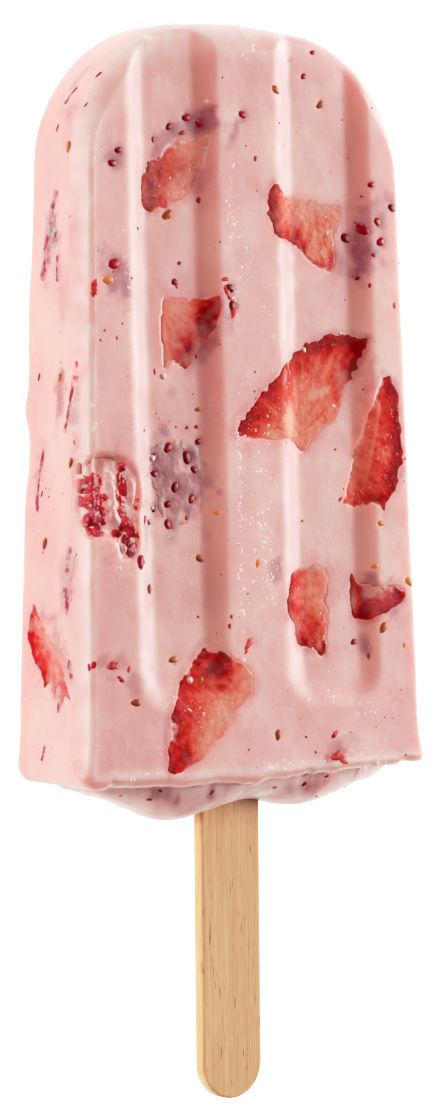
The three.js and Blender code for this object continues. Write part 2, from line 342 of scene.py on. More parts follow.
# ---------- fruit pieces: outline corners of each cut face, in millimetres on the face (u, v) or the wall (z, v) ----------
# skinLine: the corners along which the dark skin runs; depth: how far its red reaches in; lift, rough: how far the cut
# face stands out and how uneven it is; tooth, toothSize: depth and pitch of the ragged edge; film: frozen yoghurt on it;
# fade: width over which the yoghurt creeps in from the sides without skin; core: where the pale rays start;
# reds, pales, veils: ovals (u, v, half size across, half size along, heading, strength) that are redder, paler, filmed
fruit = {
    "berry_slice_upper_left": {
        "corners": [(-16.9, 77.9), (-17.1, 81.2), (-15.6, 84.2), (-13.3, 86.6), (-9.9, 88.6), (-5.6, 89.3),
                    (-4.9, 86.6), (-6.2, 82.6), (-8.8, 79.6), (-12.0, 77.7), (-15.2, 77.1)],
        "skinLine": [(-15.9, 77.2), (-17.0, 79.2), (-16.8, 81.4), (-15.8, 83.6)], "core": (-6.2, 86.0),
        "depth": 5.2, "lift": 0.05, "rough": 0.10, "tooth": 0.26, "toothSize": 0.9, "film": 0.34, "fade": 1.6,
        "streak": 0.45, "reds": [(-15.2, 79.8, 1.3, 2.4, -20, 0.55), (-13.6, 82.6, 2.4, 1.6, -30, 0.3)],
        "pales": [(-11.0, 81.0, 1.4, 2.6, -30, 0.5)], "veils": [(-7.0, 84.6, 1.1, 3.6, -20, 0.4)]},
    "berry_slice_upper_right": {
        "corners": [(4.3, 82.3), (6.2, 81.6), (9.0, 80.7), (12.6, 80.6), (17.4, 79.6), (16.6, 76.6), (16.0, 73.8),
                    (16.6, 72.4), (16.1, 70.2), (14.6, 69.6), (12.4, 70.4), (10.2, 71.6), (8.0, 73.9), (4.8, 74.8),
                    (3.1, 77.4), (2.9, 80.0)],
        "skinLine": [(4.8, 83.0), (3.0, 80.4), (3.3, 77.2), (5.0, 74.8), (7.6, 74.4)], "core": (11.6, 81.6),
        "depth": 3.6, "lift": 0.06, "rough": 0.13, "tooth": 0.28, "toothSize": 0.8, "film": 0.20, "fade": 0.9,
        "streak": 1.0, "reds": [(4.4, 78.4, 1.2, 3.4, 12, 0.5), (9.9, 73.2, 1.0, 2.6, -36, 0.8), (14.8, 71.6, 1.9, 1.9, 0, 1.0),
                                (12.9, 71.0, 2.2, 0.9, -20, 1.0), (13.4, 74.2, 0.8, 2.4, -30, 0.5)],
        "pales": [(11.8, 74.6, 0.5, 3.0, -28, 0.6), (9.8, 78.4, 2.4, 2.2, 0, 0.3)],
        "veils": [(12.2, 79.6, 4.6, 1.5, -8, 0.8), (8.4, 77.2, 0.9, 2.2, 20, 0.5), (15.4, 75.6, 1.4, 2.6, 0, 0.65)]},
    "berry_wedge_middle": {
        "corners": [(-14.4, 65.8), (-9.8, 66.2), (-5.2, 66.4), (-5.2, 63.6), (-6.4, 60.8), (-8.3, 58.7),
                    (-10.0, 56.1), (-12.2, 56.6), (-14.3, 55.9), (-14.5, 60.6)],
        "skinLine": [(-5.0, 66.6), (-5.2, 62.8), (-7.2, 60.0), (-10.0, 56.0)], "core": (-15.2, 67.0),
        "depth": 4.6, "lift": 0.05, "rough": 0.09, "tooth": 0.14, "toothSize": 0.8, "film": 0.34, "fade": 0.7,
        "streak": 0.35, "reds": [(-7.2, 63.6, 1.3, 3.4, -14, 0.5), (-9.6, 58.8, 1.2, 2.2, -30, 0.4)],
        "pales": [(-12.2, 64.4, 2.6, 1.8, 0, 0.35), (-11.4, 61.6, 0.7, 2.6, -30, 0.3)],
        "veils": [(-13.2, 65.2, 1.6, 1.2, 0, 0.5), (-13.6, 57.0, 1.2, 1.4, 0, 0.5)]},
    "berry_fan_centre": {
        "corners": [(-3.4, 47.4), (-1.2, 50.6), (2.0, 53.8), (5.2, 56.7), (9.8, 60.0), (14.6, 61.7), (20.0, 61.2),
                    (19.0, 57.6), (17.0, 53.2), (15.2, 49.4), (12.8, 48.0), (11.0, 46.0), (9.8, 44.7), (8.4, 45.0),
                    (6.4, 46.3), (0.6, 46.3)],
        "skinLine": [(-3.5, 47.2), (-1.3, 50.8), (2.0, 54.1), (5.2, 56.9), (9.8, 60.2), (14.6, 61.8), (20.2, 61.2),
                     (19.4, 58.4), (18.0, 55.6)], "core": (8.9, 47.6),
        "depth": 5.4, "lift": 0.06, "rough": 0.10, "tooth": 0.30, "toothSize": 0.8, "film": 0.05, "fade": 0.7,
        "streak": 0.6, "reds": [(12.4, 51.0, 1.9, 2.0, -30, 0.34), (-1.6, 48.2, 1.8, 1.4, 30, 0.35),
                                (1.4, 49.8, 1.8, 1.6, 0, 0.2), (18.4, 60.0, 1.6, 1.3, 0, 0.5),
                                (18.6, 57.6, 0.8, 2.6, -20, 0.5), (12.0, 59.8, 3.8, 1.2, 20, 0.35)],
        "pales": [(6.6, 49.7, 1.7, 2.2, -30, 0.8), (12.8, 53.6, 3.4, 0.6, 24, 0.7), (2.6, 47.4, 2.8, 0.9, 0, 0.45),
                  (9.6, 55.0, 2.6, 1.6, 24, 0.2)],
        "veils": [(6.5, 50.4, 1.5, 2.6, -14, 0.5), (5.7, 55.4, 0.8, 2.2, -12, 0.45), (11.8, 53.4, 3.6, 0.8, 8, 0.4),
                  (15.8, 55.2, 1.6, 2.4, 24, 0.45)]},
    "berry_slice_right": {
        "corners": [(21.9, 55.6), (23.3, 56.0), (24.4, 54.6), (24.9, 51.9), (25.5, 49.3), (25.4, 46.4), (25.5, 43.8),
                    (24.8, 41.4), (23.6, 39.0), (22.4, 37.0), (20.2, 37.4), (18.3, 36.8), (16.0, 38.1), (17.0, 43.2),
                    (18.5, 48.1), (20.4, 53.0)],
        "skinLine": [(22.6, 56.4), (24.4, 55.2), (25.1, 52.0), (25.8, 49.0), (25.8, 44.0), (24.9, 40.6), (22.5, 36.7)],
        "core": (12.6, 46.4), "depth": 7.4, "lift": 0.09, "rough": 0.16, "tooth": 0.46, "toothSize": 1.5, "film": 0.04,
        "fade": 0.8, "streak": 0.3, "reds": [(24.2, 41.4, 2.0, 4.6, -10, 0.35), (24.8, 47.4, 1.1, 4.2, -8, 0.3),
                                             (20.9, 38.7, 2.8, 1.1, 0, 0.6), (23.4, 53.8, 1.2, 2.2, 0, 0.25)],
        "pales": [(20.8, 47.6, 0.4, 8.0, -12, 0.45), (22.9, 45.0, 1.0, 2.4, -6, 0.45)],
        "veils": [(17.6, 43.6, 0.8, 7.0, -14, 0.35), (21.2, 53.6, 0.8, 3.0, -16, 0.5)]},
    "berry_chunk_left": {"corners": [(-27.8, 43.8), (-25.2, 44.8), (-21.6, 44.1), (-18.9, 41.6), (-18.6, 38.4),
                                     (-19.4, 36.2), (-19.0, 33.4), (-20.2, 30.6), (-22.4, 30.8), (-23.0, 32.9), (-25.2, 33.6),
                                     (-27.2, 33.2), (-28.0, 36.0), (-28.1, 40.0)]},
    "berry_skin_patch": {
        "corners": [(-17.0, 45.9), (-13.2, 47.2), (-8.6, 47.0), (-7.2, 43.0), (-8.0, 38.0), (-9.2, 34.8),
                    (-12.4, 34.0), (-15.4, 35.6), (-17.0, 39.6)]},
    "berry_slice_lower_right": {
        "corners": [(6.4, 28.6), (9.4, 29.8), (11.4, 30.4), (13.5, 29.0), (13.7, 25.6), (13.5, 21.8), (13.2, 18.7),
                    (12.7, 16.5), (11.0, 16.4), (10.2, 17.8), (8.7, 17.9), (7.0, 18.8), (6.5, 21.1), (5.0, 22.7),
                    (5.0, 25.6)],
        "skinLine": [(6.2, 27.6), (4.8, 25.2), (4.9, 22.6), (6.4, 20.8), (7.0, 18.5), (8.8, 17.7), (10.4, 17.6)],
        "core": (10.6, 29.6), "depth": 5.0, "lift": 0.06, "rough": 0.11, "tooth": 0.22, "toothSize": 0.9, "film": 0.28,
        "fade": 1.3, "streak": 0.25, "reds": [(5.5, 24.4, 0.8, 2.6, 10, 0.2), (8.0, 19.2, 1.3, 1.4, 0, 0.3),
                                              (12.2, 17.6, 1.0, 1.8, 0, 0.9), (10.6, 21.4, 1.6, 1.8, 0, 0.25)],
        "pales": [(9.4, 26.4, 3.0, 2.6, 0, 0.5), (11.0, 18.4, 0.7, 0.8, 0, 0.7)],
        "veils": [(12.8, 25.0, 0.9, 4.6, 0, 0.6), (10.4, 29.4, 3.0, 1.5, 0, 0.6)]},
    "berry_bit_right": {
        "corners": [(17.0, 28.3), (18.4, 27.4), (21.4, 26.6), (23.8, 27.0), (25.9, 26.0), (25.4, 24.2), (22.2, 22.7),
                    (19.2, 21.5), (17.1, 22.1), (16.6, 25.2)],
        "skinLine": [(16.8, 28.0), (16.6, 25.0), (17.2, 22.0), (20.2, 21.8), (22.4, 22.9), (25.4, 24.2)],
        "core": (21.2, 27.6), "depth": 3.8, "lift": 0.05, "rough": 0.16, "tooth": 0.20, "toothSize": 0.8, "film": 0.10,
        "fade": 0.8, "streak": 0.2, "reds": [(17.5, 26.0, 0.9, 2.6, 0, 0.5), (19.4, 23.2, 1.9, 1.3, 20, 0.5),
                                             (24.2, 25.4, 1.2, 1.0, 30, 0.9)],
        "pales": [], "veils": [(20.6, 25.8, 2.4, 1.6, 0, 0.9), (17.6, 25.0, 0.8, 2.0, 0, 0.4)]},
    "berry_slice_base": {
        "corners": [(-7.9, 18.6), (-5.0, 18.2), (-2.2, 16.3), (-0.4, 14.3), (-0.9, 12.0), (-2.8, 10.2), (-5.0, 7.4),
                    (-7.8, 4.6), (-10.4, 2.8), (-12.9, 1.5), (-15.2, 1.6), (-15.7, 4.0), (-15.0, 6.9), (-15.0, 9.6),
                    (-13.5, 12.4), (-11.8, 15.2), (-9.8, 17.4)],
        "skinLine": [(-8.4, 19.4), (-11.8, 16.2), (-14.4, 12.0), (-15.6, 8.0), (-16.0, 4.4), (-15.4, 1.4)],
        "core": (-3.0, 11.0), "depth": 6.0, "lift": 0.07, "rough": 0.14, "tooth": 0.24, "toothSize": 0.9, "film": 0.12,
        "fade": 0.9, "streak": 0.3, "reds": [(-6.0, 15.2, 4.2, 3.2, 30, 0.9), (-13.0, 4.6, 1.5, 2.2, -20, 0.6),
                                             (-11.2, 9.6, 1.2, 2.2, -30, 0.25)],
        "pales": [(-6.0, 9.6, 2.4, 2.6, -40, 0.4), (-8.6, 6.2, 1.4, 2.6, -40, 0.3)],
        "veils": [(-2.2, 13.6, 1.3, 1.7, 0, 0.5), (-5.4, 8.6, 1.1, 4.0, -40, 0.35), (-11.4, 9.8, 2.6, 0.5, -40, 0.2)]},
    "berry_slice_side": {
        "corners": [(4.0, 24.3), (6.2, 22.6), (8.8, 20.0), (11.2, 17.0), (13.0, 14.8), (13.8, 11.6), (12.4, 12.0),
                    (11.4, 10.6), (10.6, 12.8), (9.4, 11.4), (8.4, 13.6), (7.0, 13.0), (6.0, 15.2), (3.6, 17.4), (2.6, 20.6)],
        "skinLine": [(3.8, 24.2), (2.4, 20.4), (3.4, 17.2), (6.0, 14.4), (9.4, 11.8), (13.4, 11.4)], "core": (10.6, 19.0),
        "depth": 4.6, "lift": 0.05, "rough": 0.12, "tooth": 0.24, "toothSize": 0.7, "film": 0.46, "fade": 0.8,
        "streak": 0.4, "reds": [(4.0, 20.6, 1.0, 3.0, 0, 0.4), (7.0, 14.6, 1.0, 1.4, 0, 0.5), (12.8, 12.8, 0.6, 1.4, 0, 0.5)],
        "pales": [], "veils": [(9.4, 18.6, 1.8, 3.4, 40, 0.4)], "wall": True},
}
sliced = {name: s for name, s in fruit.items() if "skinLine" in s}
for order, s in enumerate(sliced.values()):
    s["seed"] = 60 + 7 * order


def coverAt(a, b, inside, s):
    # how far the yoghurt has crept over a cut face: full at the outline away from the skin, torn, none beyond fade
    fromSkin = lineDistance(a, b, s["skinLine"], False)
    torn = 0.45 * cloud(a, b, 0, 1.5, s["seed"] + 7) + 0.3 * cloud(a, b, 0, 0.6, s["seed"] + 8)
    return smooth(1.05 - inside / s["fade"] + torn) * smooth((fromSkin - inside - 0.4) / 1.2)


def haloOf(u, v, reach):
    # nearest fruit outline on the face: signed distance, positive inside
    best = np.full(np.shape(u), -reach)
    for piece in sliced.values():
        if not piece.get("wall"):
            best = np.maximum(best, loopDistance(u, v, piece["corners"], reach))
    return best


def pocket(a, b, wall):
    # how far the yoghurt lies below its own skin under each slice, starting inside the ragged edge where it is bare
    total = np.zeros(np.shape(a))
    for s in sliced.values():
        if s.get("wall", False) == wall:
            inside = loopDistance(a, b, s["corners"], 1.0)
            near = inside > 0
            bare = smooth((0.14 - coverAt(a[near], b[near], inside[near], s)) / 0.14)
            total[near] = np.maximum(total[near], 0.5 * bare * smooth((inside[near] - s["tooth"] - 0.25) / 0.45))
    if not wall:
        total = np.maximum(total, 0.4 * smooth((loopDistance(a, b, hollow["loop"], 2.0) - 0.5) / 0.5))
    return total


# Seeds in their pits on the face: (u, v, heading in degrees, length); the first list is dark and sunk, the others lie in the ice
seeds = {
    "cored": [(-10.4, 44.2, 95, 1.0), (-9.8, 38.6, 75, 0.8), (-13.8, 35.2, 100, 0.6), (22.1, 77.6, 110, 0.7),
              (-19.2, 30.2, 85, 0.7), (-3.2, 65.0, 90, 0.6)],
    "sunk": [(-13.5, 45.5, 60, 1.9), (-10.4, 44.2, 95, 2.1), (-8.5, 46.4, 30, 1.3), (-15.9, 42.0, -30, 1.4),
             (-12.5, 40.2, 80, 1.7), (-9.8, 38.6, 75, 1.6), (-13.8, 37.9, 20, 1.5), (-13.8, 35.2, 100, 1.5),
             (-10.7, 36.0, 10, 0.9), (-9.3, 42.6, -50, 1.4), (-10.3, 48.3, 0, 0.6), (-16.0, 37.2, 70, 1.0),
             (-17.0, 35.5, -60, 0.9), (-15.9, 44.2, 60, 1.5), (17.6, 75.2, 150, 1.9), (19.8, 76.5, 130, 2.1),
             (22.1, 77.6, 110, 1.5), (22.6, 74.8, 50, 1.7), (24.7, 79.7, 120, 1.4), (21.2, 82.8, 20, 1.2),
             (21.3, 72.9, 0, 0.8), (19.1, 69.6, 40, 0.8), (-0.7, 91.3, 140, 1.5), (-9.2, 90.5, 30, 1.7),
             (-12.1, 89.1, 60, 1.3), (-7.3, 89.7, 150, 1.4), (-14.7, 87.2, 90, 0.8), (-21.4, 85.3, 30, 1.3),
             (-22.4, 83.5, 0, 1.5), (-22.5, 70.0, 30, 2.0), (-3.5, 67.4, 130, 1.6), (-3.2, 65.0, 90, 1.6)],
    "gold": [(5.0, 95.1, 125, 1.7), (13.6, 93.7, 55, 1.6), (-12.7, 77.1, 50, 2.0), (-23.5, 67.8, 20, 1.8),
             (-6.4, 36.8, -30, 1.1), (-8.5, 50.8, 20, 1.1), (24.8, 65.9, 90, 1.0), (-8.6, 30.5, 130, 1.5),
             (-17.2, 26.5, 90, 1.5), (21.6, 35.2, 160, 1.3), (20.3, 29.2, 10, 1.2), (26.3, 26.9, 110, 1.6),
             (0.0, 29.8, 80, 1.3), (-13.6, 16.9, 20, 1.6), (21.5, 20.5, 65, 1.9), (19.2, 16.6, 90, 1.0),
             (25.2, 18.0, 90, 0.9), (2.8, 6.2, 85, 1.7), (-20.6, 11.4, 0, 1.7), (-22.3, 60.1, 80, 0.7),
             (6.2, 56.9, 100, 1.3), (-9.4, 14.0, 60, 1.3), (11.6, 19.2, 60, 1.2)],
    "red": [(-19.2, 30.2, 85, 1.9), (-8.8, 48.4, 20, 0.7), (-10.9, 70.6, 40, 0.7), (12.5, 100.9, 0, 0.9),
            (10.8, 97.5, 60, 1.0), (1.2, 85.4, 80, 0.8), (-7.6, 79.3, 90, 0.9), (-11.7, 68.0, 130, 1.2),
            (-8.5, 58.0, 90, 0.6), (-4.9, 21.3, 90, 0.7), (17.0, 18.6, 50, 1.1), (-4.6, 22.6, 80, 0.6),
            (26.0, 72.0, 60, 0.7), (-27.2, 16.6, 80, 1.0), (20.6, 68.6, 80, 0.7)],
    "wallGold": [(10.1, 85.6, 85, 1.7), (9.3, 54.8, 80, 1.2), (6.5, 32.5, 80, 1.7), (12.4, 43.4, 80, 1.5)],
    "wallSunk": [(12.1, 95.3, 60, 1.2), (8.2, 93.5, 70, 1.1), (12.5, 91.1, 60, 0.9), (6.7, 88.4, 80, 1.1),
                 (4.3, 43.8, 80, 1.5), (7.4, 74.0, 80, 1.2), (12.2, 52.4, 80, 2.0), (4.0, 55.0, 80, 1.2),
                 (5.3, 39.2, 80, 1.0), (12.0, 26.0, 80, 1.0)],
}
# on the swell under the rim: (u, z, heading, length)
seeds["swellSunk"] = [(-16.3, 13.7, 30, 0.9), (8.5, 15.5, 20, 1.0), (-7.2, 15.5, 50, 0.8), (-15.2, 14.7, 10, 0.7),
                      (12.5, 15.4, 20, 0.8), (12.0, 13.6, 0, 0.5), (-20.2, 12.6, 60, 0.5)]
seeds["swellGold"] = [(3.5, 15.4, 10, 0.8), (18.3, 12.0, 30, 0.6)]
# The broken place on the left rib: depth of its floor and width of its wall
hollow = {"loop": fruit["berry_chunk_left"]["corners"], "depth": 0.62, "wall": 0.9}


def dents(u, v):
    # every pit is a round bell; the broken place is a flat lumpy floor with a steep wall
    total = np.zeros(np.shape(u))
    for pu, pv, _, long in seeds["sunk"]:
        total = total + 0.10 * long * np.exp(-((np.hypot(u - pu, v - pv) / (0.52 * long)) ** 2) * 1.4)
    for pu, pv, _, long in seeds["gold"] + seeds["red"]:
        total = total + 0.05 * long * np.exp(-((np.hypot(u - pu, v - pv) / (0.55 * long)) ** 2) * 1.4)
    inside = loopDistance(u, v, hollow["loop"], 2.0)
    lumps = 0.28 * cloud(u, v, 0, 2.1, 21) + 0.2 * cloud(u, v, 0, 1.1, 22)
    shallow = 0.2 + 0.8 * smooth((edgeInside(u, v) - 0.6) / 1.6)
    return total + smooth((inside + 0.1) / hollow["wall"]) * (hollow["depth"] + lumps) * shallow


def lips(u, v):
    # a low ragged lip of yoghurt pushed up along the fruit outlines
    near = haloOf(u, v, 1.6)
    ragged = np.maximum(cloud(u, v, 3.0, 2.4, 23), 0.0)
    return 0.05 * ragged * np.exp(-(((near + 0.5) / 0.5) ** 2))


def faceZ(u, v):
    # front face height over the lying plane
    base = thickAt(v) - faceDrop(u, v)
    return base + relief(u, v, base) - dents(u, v) + lips(u, v)


def wallX(z, v):
    # left side wall: x of the wall, waved, with a dent near its lower edge
    bulge = 0.45 * np.exp(-(((v - 50.5) / 2.2) ** 2)) - 0.75 * np.exp(-(((v - 44.5) / 3.2) ** 2))
    low = 1 - smooth((z - 2.0) / 7.0)
    return -(halfWidth(v) + bulge * low + relief(-halfWidth(v), v, z) + 0.15 * cloud(0, v, z, 12.0, 24))


# ---------- the frozen block ----------
block = {"frontColumns": 146, "edgeColumns": 6, "wallColumns": 24, "backColumns": 60, "step": 0.42, "tipRows": 60,
         "capRows": 46}
# Stains in the yoghurt: (u, v, half size across, half size along, heading in degrees, strength)
stains = {
    "mauve": [(-14.0, 41.8, 2.9, 6.0, 0, 1.0), (-10.8, 39.6, 3.6, 5.6, 20, 0.8), (-10.6, 45.0, 3.0, 2.6, 0, 0.7),
              (-15.0, 44.6, 3.0, 3.6, 0, 1.0), (-12.8, 36.0, 1.4, 4.4, 0, 0.9),
              (-10.0, 83.6, 3.8, 4.2, -36, 0.5), (-10.6, 61.0, 3.4, 4.6, 0, 0.45), (17.2, 71.4, 1.8, 2.2, 0, 0.5),
              (-6.8, 89.6, 4.6, 1.9, 10, 1.0), (-2.4, 88.3, 1.1, 3.0, -24, 0.9), (-11.0, 88.8, 3.6, 1.5, 38, 0.9),
              (-14.6, 84.6, 1.2, 3.2, -30, 0.7), (19.6, 73.6, 3.2, 4.6, -8, 0.9), (21.8, 78.6, 2.8, 3.4, 0, 0.6),
              (24.2, 80.6, 1.6, 1.5, 0, 0.6), (-20.8, 67.4, 1.5, 3.2, 8, 0.9), (-22.6, 68.4, 2.6, 3.6, 0, 0.8),
              (-22.0, 84.4, 1.8, 1.9, 0, 0.75), (3.1, 29.0, 1.6, 2.2, 0, 0.8), (13.2, 4.0, 3.2, 2.4, 20, 0.8),
              (-3.6, 65.8, 1.4, 3.6, 0, 0.7), (-7.4, 58.6, 1.6, 3.4, -34, 0.6), (18.6, 18.0, 1.6, 2.2, 0, 0.5),
              (-24.0, 16.6, 3.4, 1.9, 0, 0.6), (-20.4, 14.0, 1.8, 2.4, 30, 0.5), (-17.2, 34.8, 1.5, 3.2, 10, 0.4),
              (-19.4, 42.6, 1.6, 1.4, 0, 0.4), (20.8, 25.2, 4.4, 3.0, -20, 0.9), (-12.9, 53.0, 1.2, 0.9, 0, 0.35),
              (-15.2, 46.8, 2.6, 1.4, 20, 0.4), (8.8, 99.6, 1.6, 0.6, 20, 0.5), (-14.0, 8.0, 1.1, 4.2, -10, 0.5)],
    "rose": [(-14.4, 41.4, 2.8, 6.6, 0, 0.9), (-10.8, 39.0, 3.4, 5.4, 20, 0.7), (-13.0, 82.6, 5.4, 6.2, -36, 0.6),
             (5.0, 78.8, 1.9, 3.6, 20, 0.9), (9.8, 73.4, 3.6, 2.2, -42, 0.8), (20.4, 54.6, 1.8, 3.4, -18, 0.7),
             (-2.4, 19.4, 2.4, 1.8, 0, 0.5), (-18.6, 15.0, 5.0, 3.2, 10, 0.35),
             (8.6, 53.0, 10.4, 7.0, 38, 0.35), (22.0, 46.0, 4.6, 9.0, -12, 0.5), (-23.4, 37.6, 6.0, 7.2, 0, 0.65),
             (9.6, 22.8, 5.0, 6.8, 0, 0.4), (21.0, 24.6, 5.0, 3.6, -20, 0.5), (-8.6, 9.8, 4.6, 9.2, -38, 0.4),
             (13.2, 3.8, 3.8, 2.2, 10, 0.8), (-19.0, 32.6, 2.4, 4.0, 0, 0.5), (-22.6, 16.2, 2.4, 1.2, 0, 0.5),
             (13.4, 17.6, 2.0, 3.4, 0, 0.3), (17.4, 79.6, 2.4, 1.4, 0, 0.4)],
    "lilac": [(-9.8, 39.8, 2.8, 5.8, -10, 0.4), (-9.0, 45.6, 2.4, 2.4, 0, 0.35), (-6.2, 89.8, 3.2, 1.2, 10, 0.7),
              (20.4, 72.6, 2.8, 3.4, 0, 0.6), (-21.2, 68.0, 1.6, 3.4, 0, 0.6), (3.1, 29.0, 1.5, 2.0, 0, 0.9),
              (18.6, 18.0, 1.6, 2.4, 0, 0.6), (-12.9, 52.8, 1.4, 1.0, 0, 0.5), (-22.4, 84.2, 1.8, 1.6, 0, 0.6),
              (-4.0, 62.0, 1.0, 3.0, 0, 0.4), (13.6, 97.0, 3.0, 1.0, -30, 0.3), (-20.0, 47.0, 1.0, 2.4, 0, 0.4)],
    "wallLilac": [(9.0, 50.4, 1.2, 4.8, -8, 0.6), (6.8, 72.6, 2.2, 5.0, -8, 0.5), (9.6, 66.0, 1.2, 5.0, 0, 0.5),
                  (11.2, 76.0, 1.0, 5.0, 0, 0.4), (12.2, 33.0, 1.0, 4.0, 0, 0.4), (8.6, 91.0, 3.0, 2.4, 0, 0.4)],
    "wallMauve": [(9.4, 52.6, 1.3, 5.4, -10, 0.9), (6.2, 74.0, 1.6, 5.4, -8, 0.9), (8.4, 70.0, 1.0, 4.6, 0, 0.5),
                  (14.4, 67.6, 0.8, 4.6, 0, 0.45), (12.8, 49.0, 0.8, 7.0, 0, 0.5), (14.6, 42.0, 0.8, 2.4, 0, 0.6),
                  (11.0, 26.2, 0.9, 4.4, 0, 0.5),
                  (4.2, 42.6, 1.6, 5.0, 0, 0.5), (12.3, 28.0, 1.0, 5.0, 0, 0.6), (9.0, 17.8, 3.6, 6.0, 30, 0.6),
                  (7.6, 95.6, 4.6, 0.9, 60, 0.6), (12.4, 49.4, 1.2, 2.6, 0, 0.6), (8.6, 90.0, 1.6, 2.0, 0, 0.35)],
    "wallRose": [(8.4, 17.6, 5.2, 7.4, 30, 0.45), (12.6, 27.6, 1.0, 4.0, 0, 0.5), (6.0, 72.0, 1.2, 6.0, -8, 0.5),
                 (4.6, 43.0, 1.6, 4.0, 0, 0.4)],
    "swellMauve": [(-14.4, 14.6, 3.0, 0.8, 0, 0.6), (9.6, 15.5, 3.4, 0.9, 0, 0.8), (-7.2, 15.4, 0.8, 0.8, 0, 0.7),
                   (16.8, 15.4, 2.6, 0.6, 0, 0.4)],
    "swellRose": [(-13.6, 14.2, 4.4, 1.6, 0, 0.5), (10.6, 15.0, 4.6, 1.5, 0, 0.7), (-7.0, 15.0, 1.8, 1.2, 0, 0.4)],
}


def stainAt(a, b, blobs):
    # every stain is an oval with a soft torn edge: 1 minus its own radius, pushed about by noise
    total = np.zeros(np.shape(a))
    torn = 0.42 * cloud(a, b, 0, 1.7, 41) + 0.3 * cloud(a, b, 0, 0.8, 42)
    for ca, cb, ra, rb, turn, strength in blobs:
        c, s = math.cos(math.radians(turn)), math.sin(math.radians(turn))
        x, y = ((a - ca) * c + (b - cb) * s) / ra, (-(a - ca) * s + (b - cb) * c) / rb
        total = np.maximum(total, strength * smooth((1.15 - np.hypot(x, y) + torn) / 0.95))
    return total


def faceStains(u, v):
    # mauve and lilac juice, a rose halo round the fruit that is a painted red glow of light passing through the fruit,
    # and the dark ring round each sunk seed
    halo = haloOf(u, v, 3.0)
    # painted red glow: the yoghurt pinker just outside each fruit outline, as if lit through the fruit
    near = 0.5 * np.exp(-((np.minimum(halo, 0) / 0.6) ** 2)) * (0.7 + 0.6 * cloud(u, v, 0, 2.6, 45))
    bleed = np.zeros(np.shape(u))
    close = halo > -1.4
    for s in sliced.values():
        if not s.get("wall"):
            away = lineDistance(u[close], v[close], s["skinLine"], False)
            bleed[close] = np.maximum(bleed[close], np.exp(-((away / 0.6) ** 2)))
    bleed = bleed * (0.75 + 0.7 * cloud(u, v, 0, 1.6, 48))
    rose = np.maximum(stainAt(u, v, stains["rose"]), near + bleed * 0.6)
    sunk = np.zeros(np.shape(u))
    for su, sv, _, long in seeds["sunk"]:
        sunk = np.maximum(sunk, np.exp(-((np.hypot(u - su, v - sv) / (0.5 * long)) ** 2)))
    mauve = np.maximum(stainAt(u, v, stains["mauve"]), 0.4 * bleed)
    return {"mauve": mauve, "rose": np.clip(rose, 0, 1), "lilac": stainAt(u, v, stains["lilac"]), "sunk": np.clip(sunk, 0, 1)}


def blockRings(b):
    # rows run from the middle of the rim face over the rim edge, along the block and over the tip to its middle;
    # columns run round the section: face, left edge, left wall, back, right wall
    angle = np.linspace(math.pi / 2, 0, 7)
    start = mould["rimRound"] * (1 - np.sin(angle))
    body = np.arange(start[-1], tipCentreV + mould["tipRadius"] * math.sin(sideLean), b["step"])[1:]
    phi = np.linspace(sideLean, math.pi / 2, b["tipRows"])
    v = np.concatenate([start, body, tipCentreV + mould["tipRadius"] * np.sin(phi)])[:, None]
    half = np.concatenate([halfWidth(start), halfWidth(body), tipCentreU + mould["tipRadius"] * np.cos(phi)])[:, None]
    r = edgeRadius(v)
    turn = np.linspace(0, math.pi / 2, b["edgeColumns"] + 1)
    out = half - r * (1 - np.sin(turn))[None, :]
    face = np.linspace(1, -1, b["frontColumns"])[None, :] * (half - r)
    back = np.linspace(-1, 1, b["backColumns"])[None, :] * (half - r)
    frontU = np.concatenate([face, -out[:, 1:]], 1)
    backU = np.concatenate([-out[:, :0:-1], back, out[:, 1:]], 1)
    frontZ = thickAt(v) - faceDrop(frontU, v)
    backZ = backDrop(backU, v)
    t = np.linspace(0, 1, b["wallColumns"] + 2)[None, 1:-1]
    left = frontZ[:, -1:] * (1 - t) + backZ[:, :1] * t
    rightFront = out[:, :0:-1]
    rightZ = thickAt(v) - faceDrop(rightFront, v)
    right = backZ[:, -1:] * (1 - t) + rightZ[:, :1] * t
    ones = np.ones_like(t)
    u = np.concatenate([frontU, -half * ones, backU, half * ones, rightFront], 1)
    z = np.concatenate([frontZ, left, backZ, right, rightZ], 1)
    vv = np.broadcast_to(v, u.shape)
    main = np.stack([u, vv, z], -1)
    # rim face: the first ring drawn in to its middle, hanging down as the two-lobed swell
    middle = np.array([0, 0, mould["rimThick"] / 2])
    q = 1 - (1 - np.linspace(0.02, 1, b["capRows"], endpoint=False)) ** 1.5
    cap = middle + (main[0] - middle)[None] * q[:, None, None]
    cap[..., 1] = -swellDrop(cap[..., 0], cap[..., 2])
    # tip face: the last ring drawn in to its middle
    end = np.array([0, mould["length"] - mould["crown"], mould["tipThick"] / 2])
    q = np.linspace(1, 0.08, 8)[1:]
    tip = end + (main[-1] - end)[None] * q[:, None, None]
    return np.concatenate([cap, main, tip])


def swellDrop(u, z):
    # cushion under the rim: base plus one bell for each lobe, times (1 - q to the 2.4) to the 0.6
    q = np.hypot(u / swell["halfWidth"], (z - mould["rimThick"] / 2) / swell["halfThick"])
    lobes = sum(extra * np.exp(-(((u - at) / spread) ** 2)) for at, spread, extra in swell["lobes"])
    return (swell["base"] + lobes) * np.maximum(1 - q ** 2.4, 0) ** 0.6


def gridNormals(p):
    # unit normals from the differences between neighbouring rows and columns
    rows = np.gradient(p, axis=0)
    cols = np.roll(p, -1, 1) - np.roll(p, 1, 1)
    n = np.cross(rows, cols)
    return n / np.maximum(np.linalg.norm(n, axis=-1, keepdims=True), 1e-9)


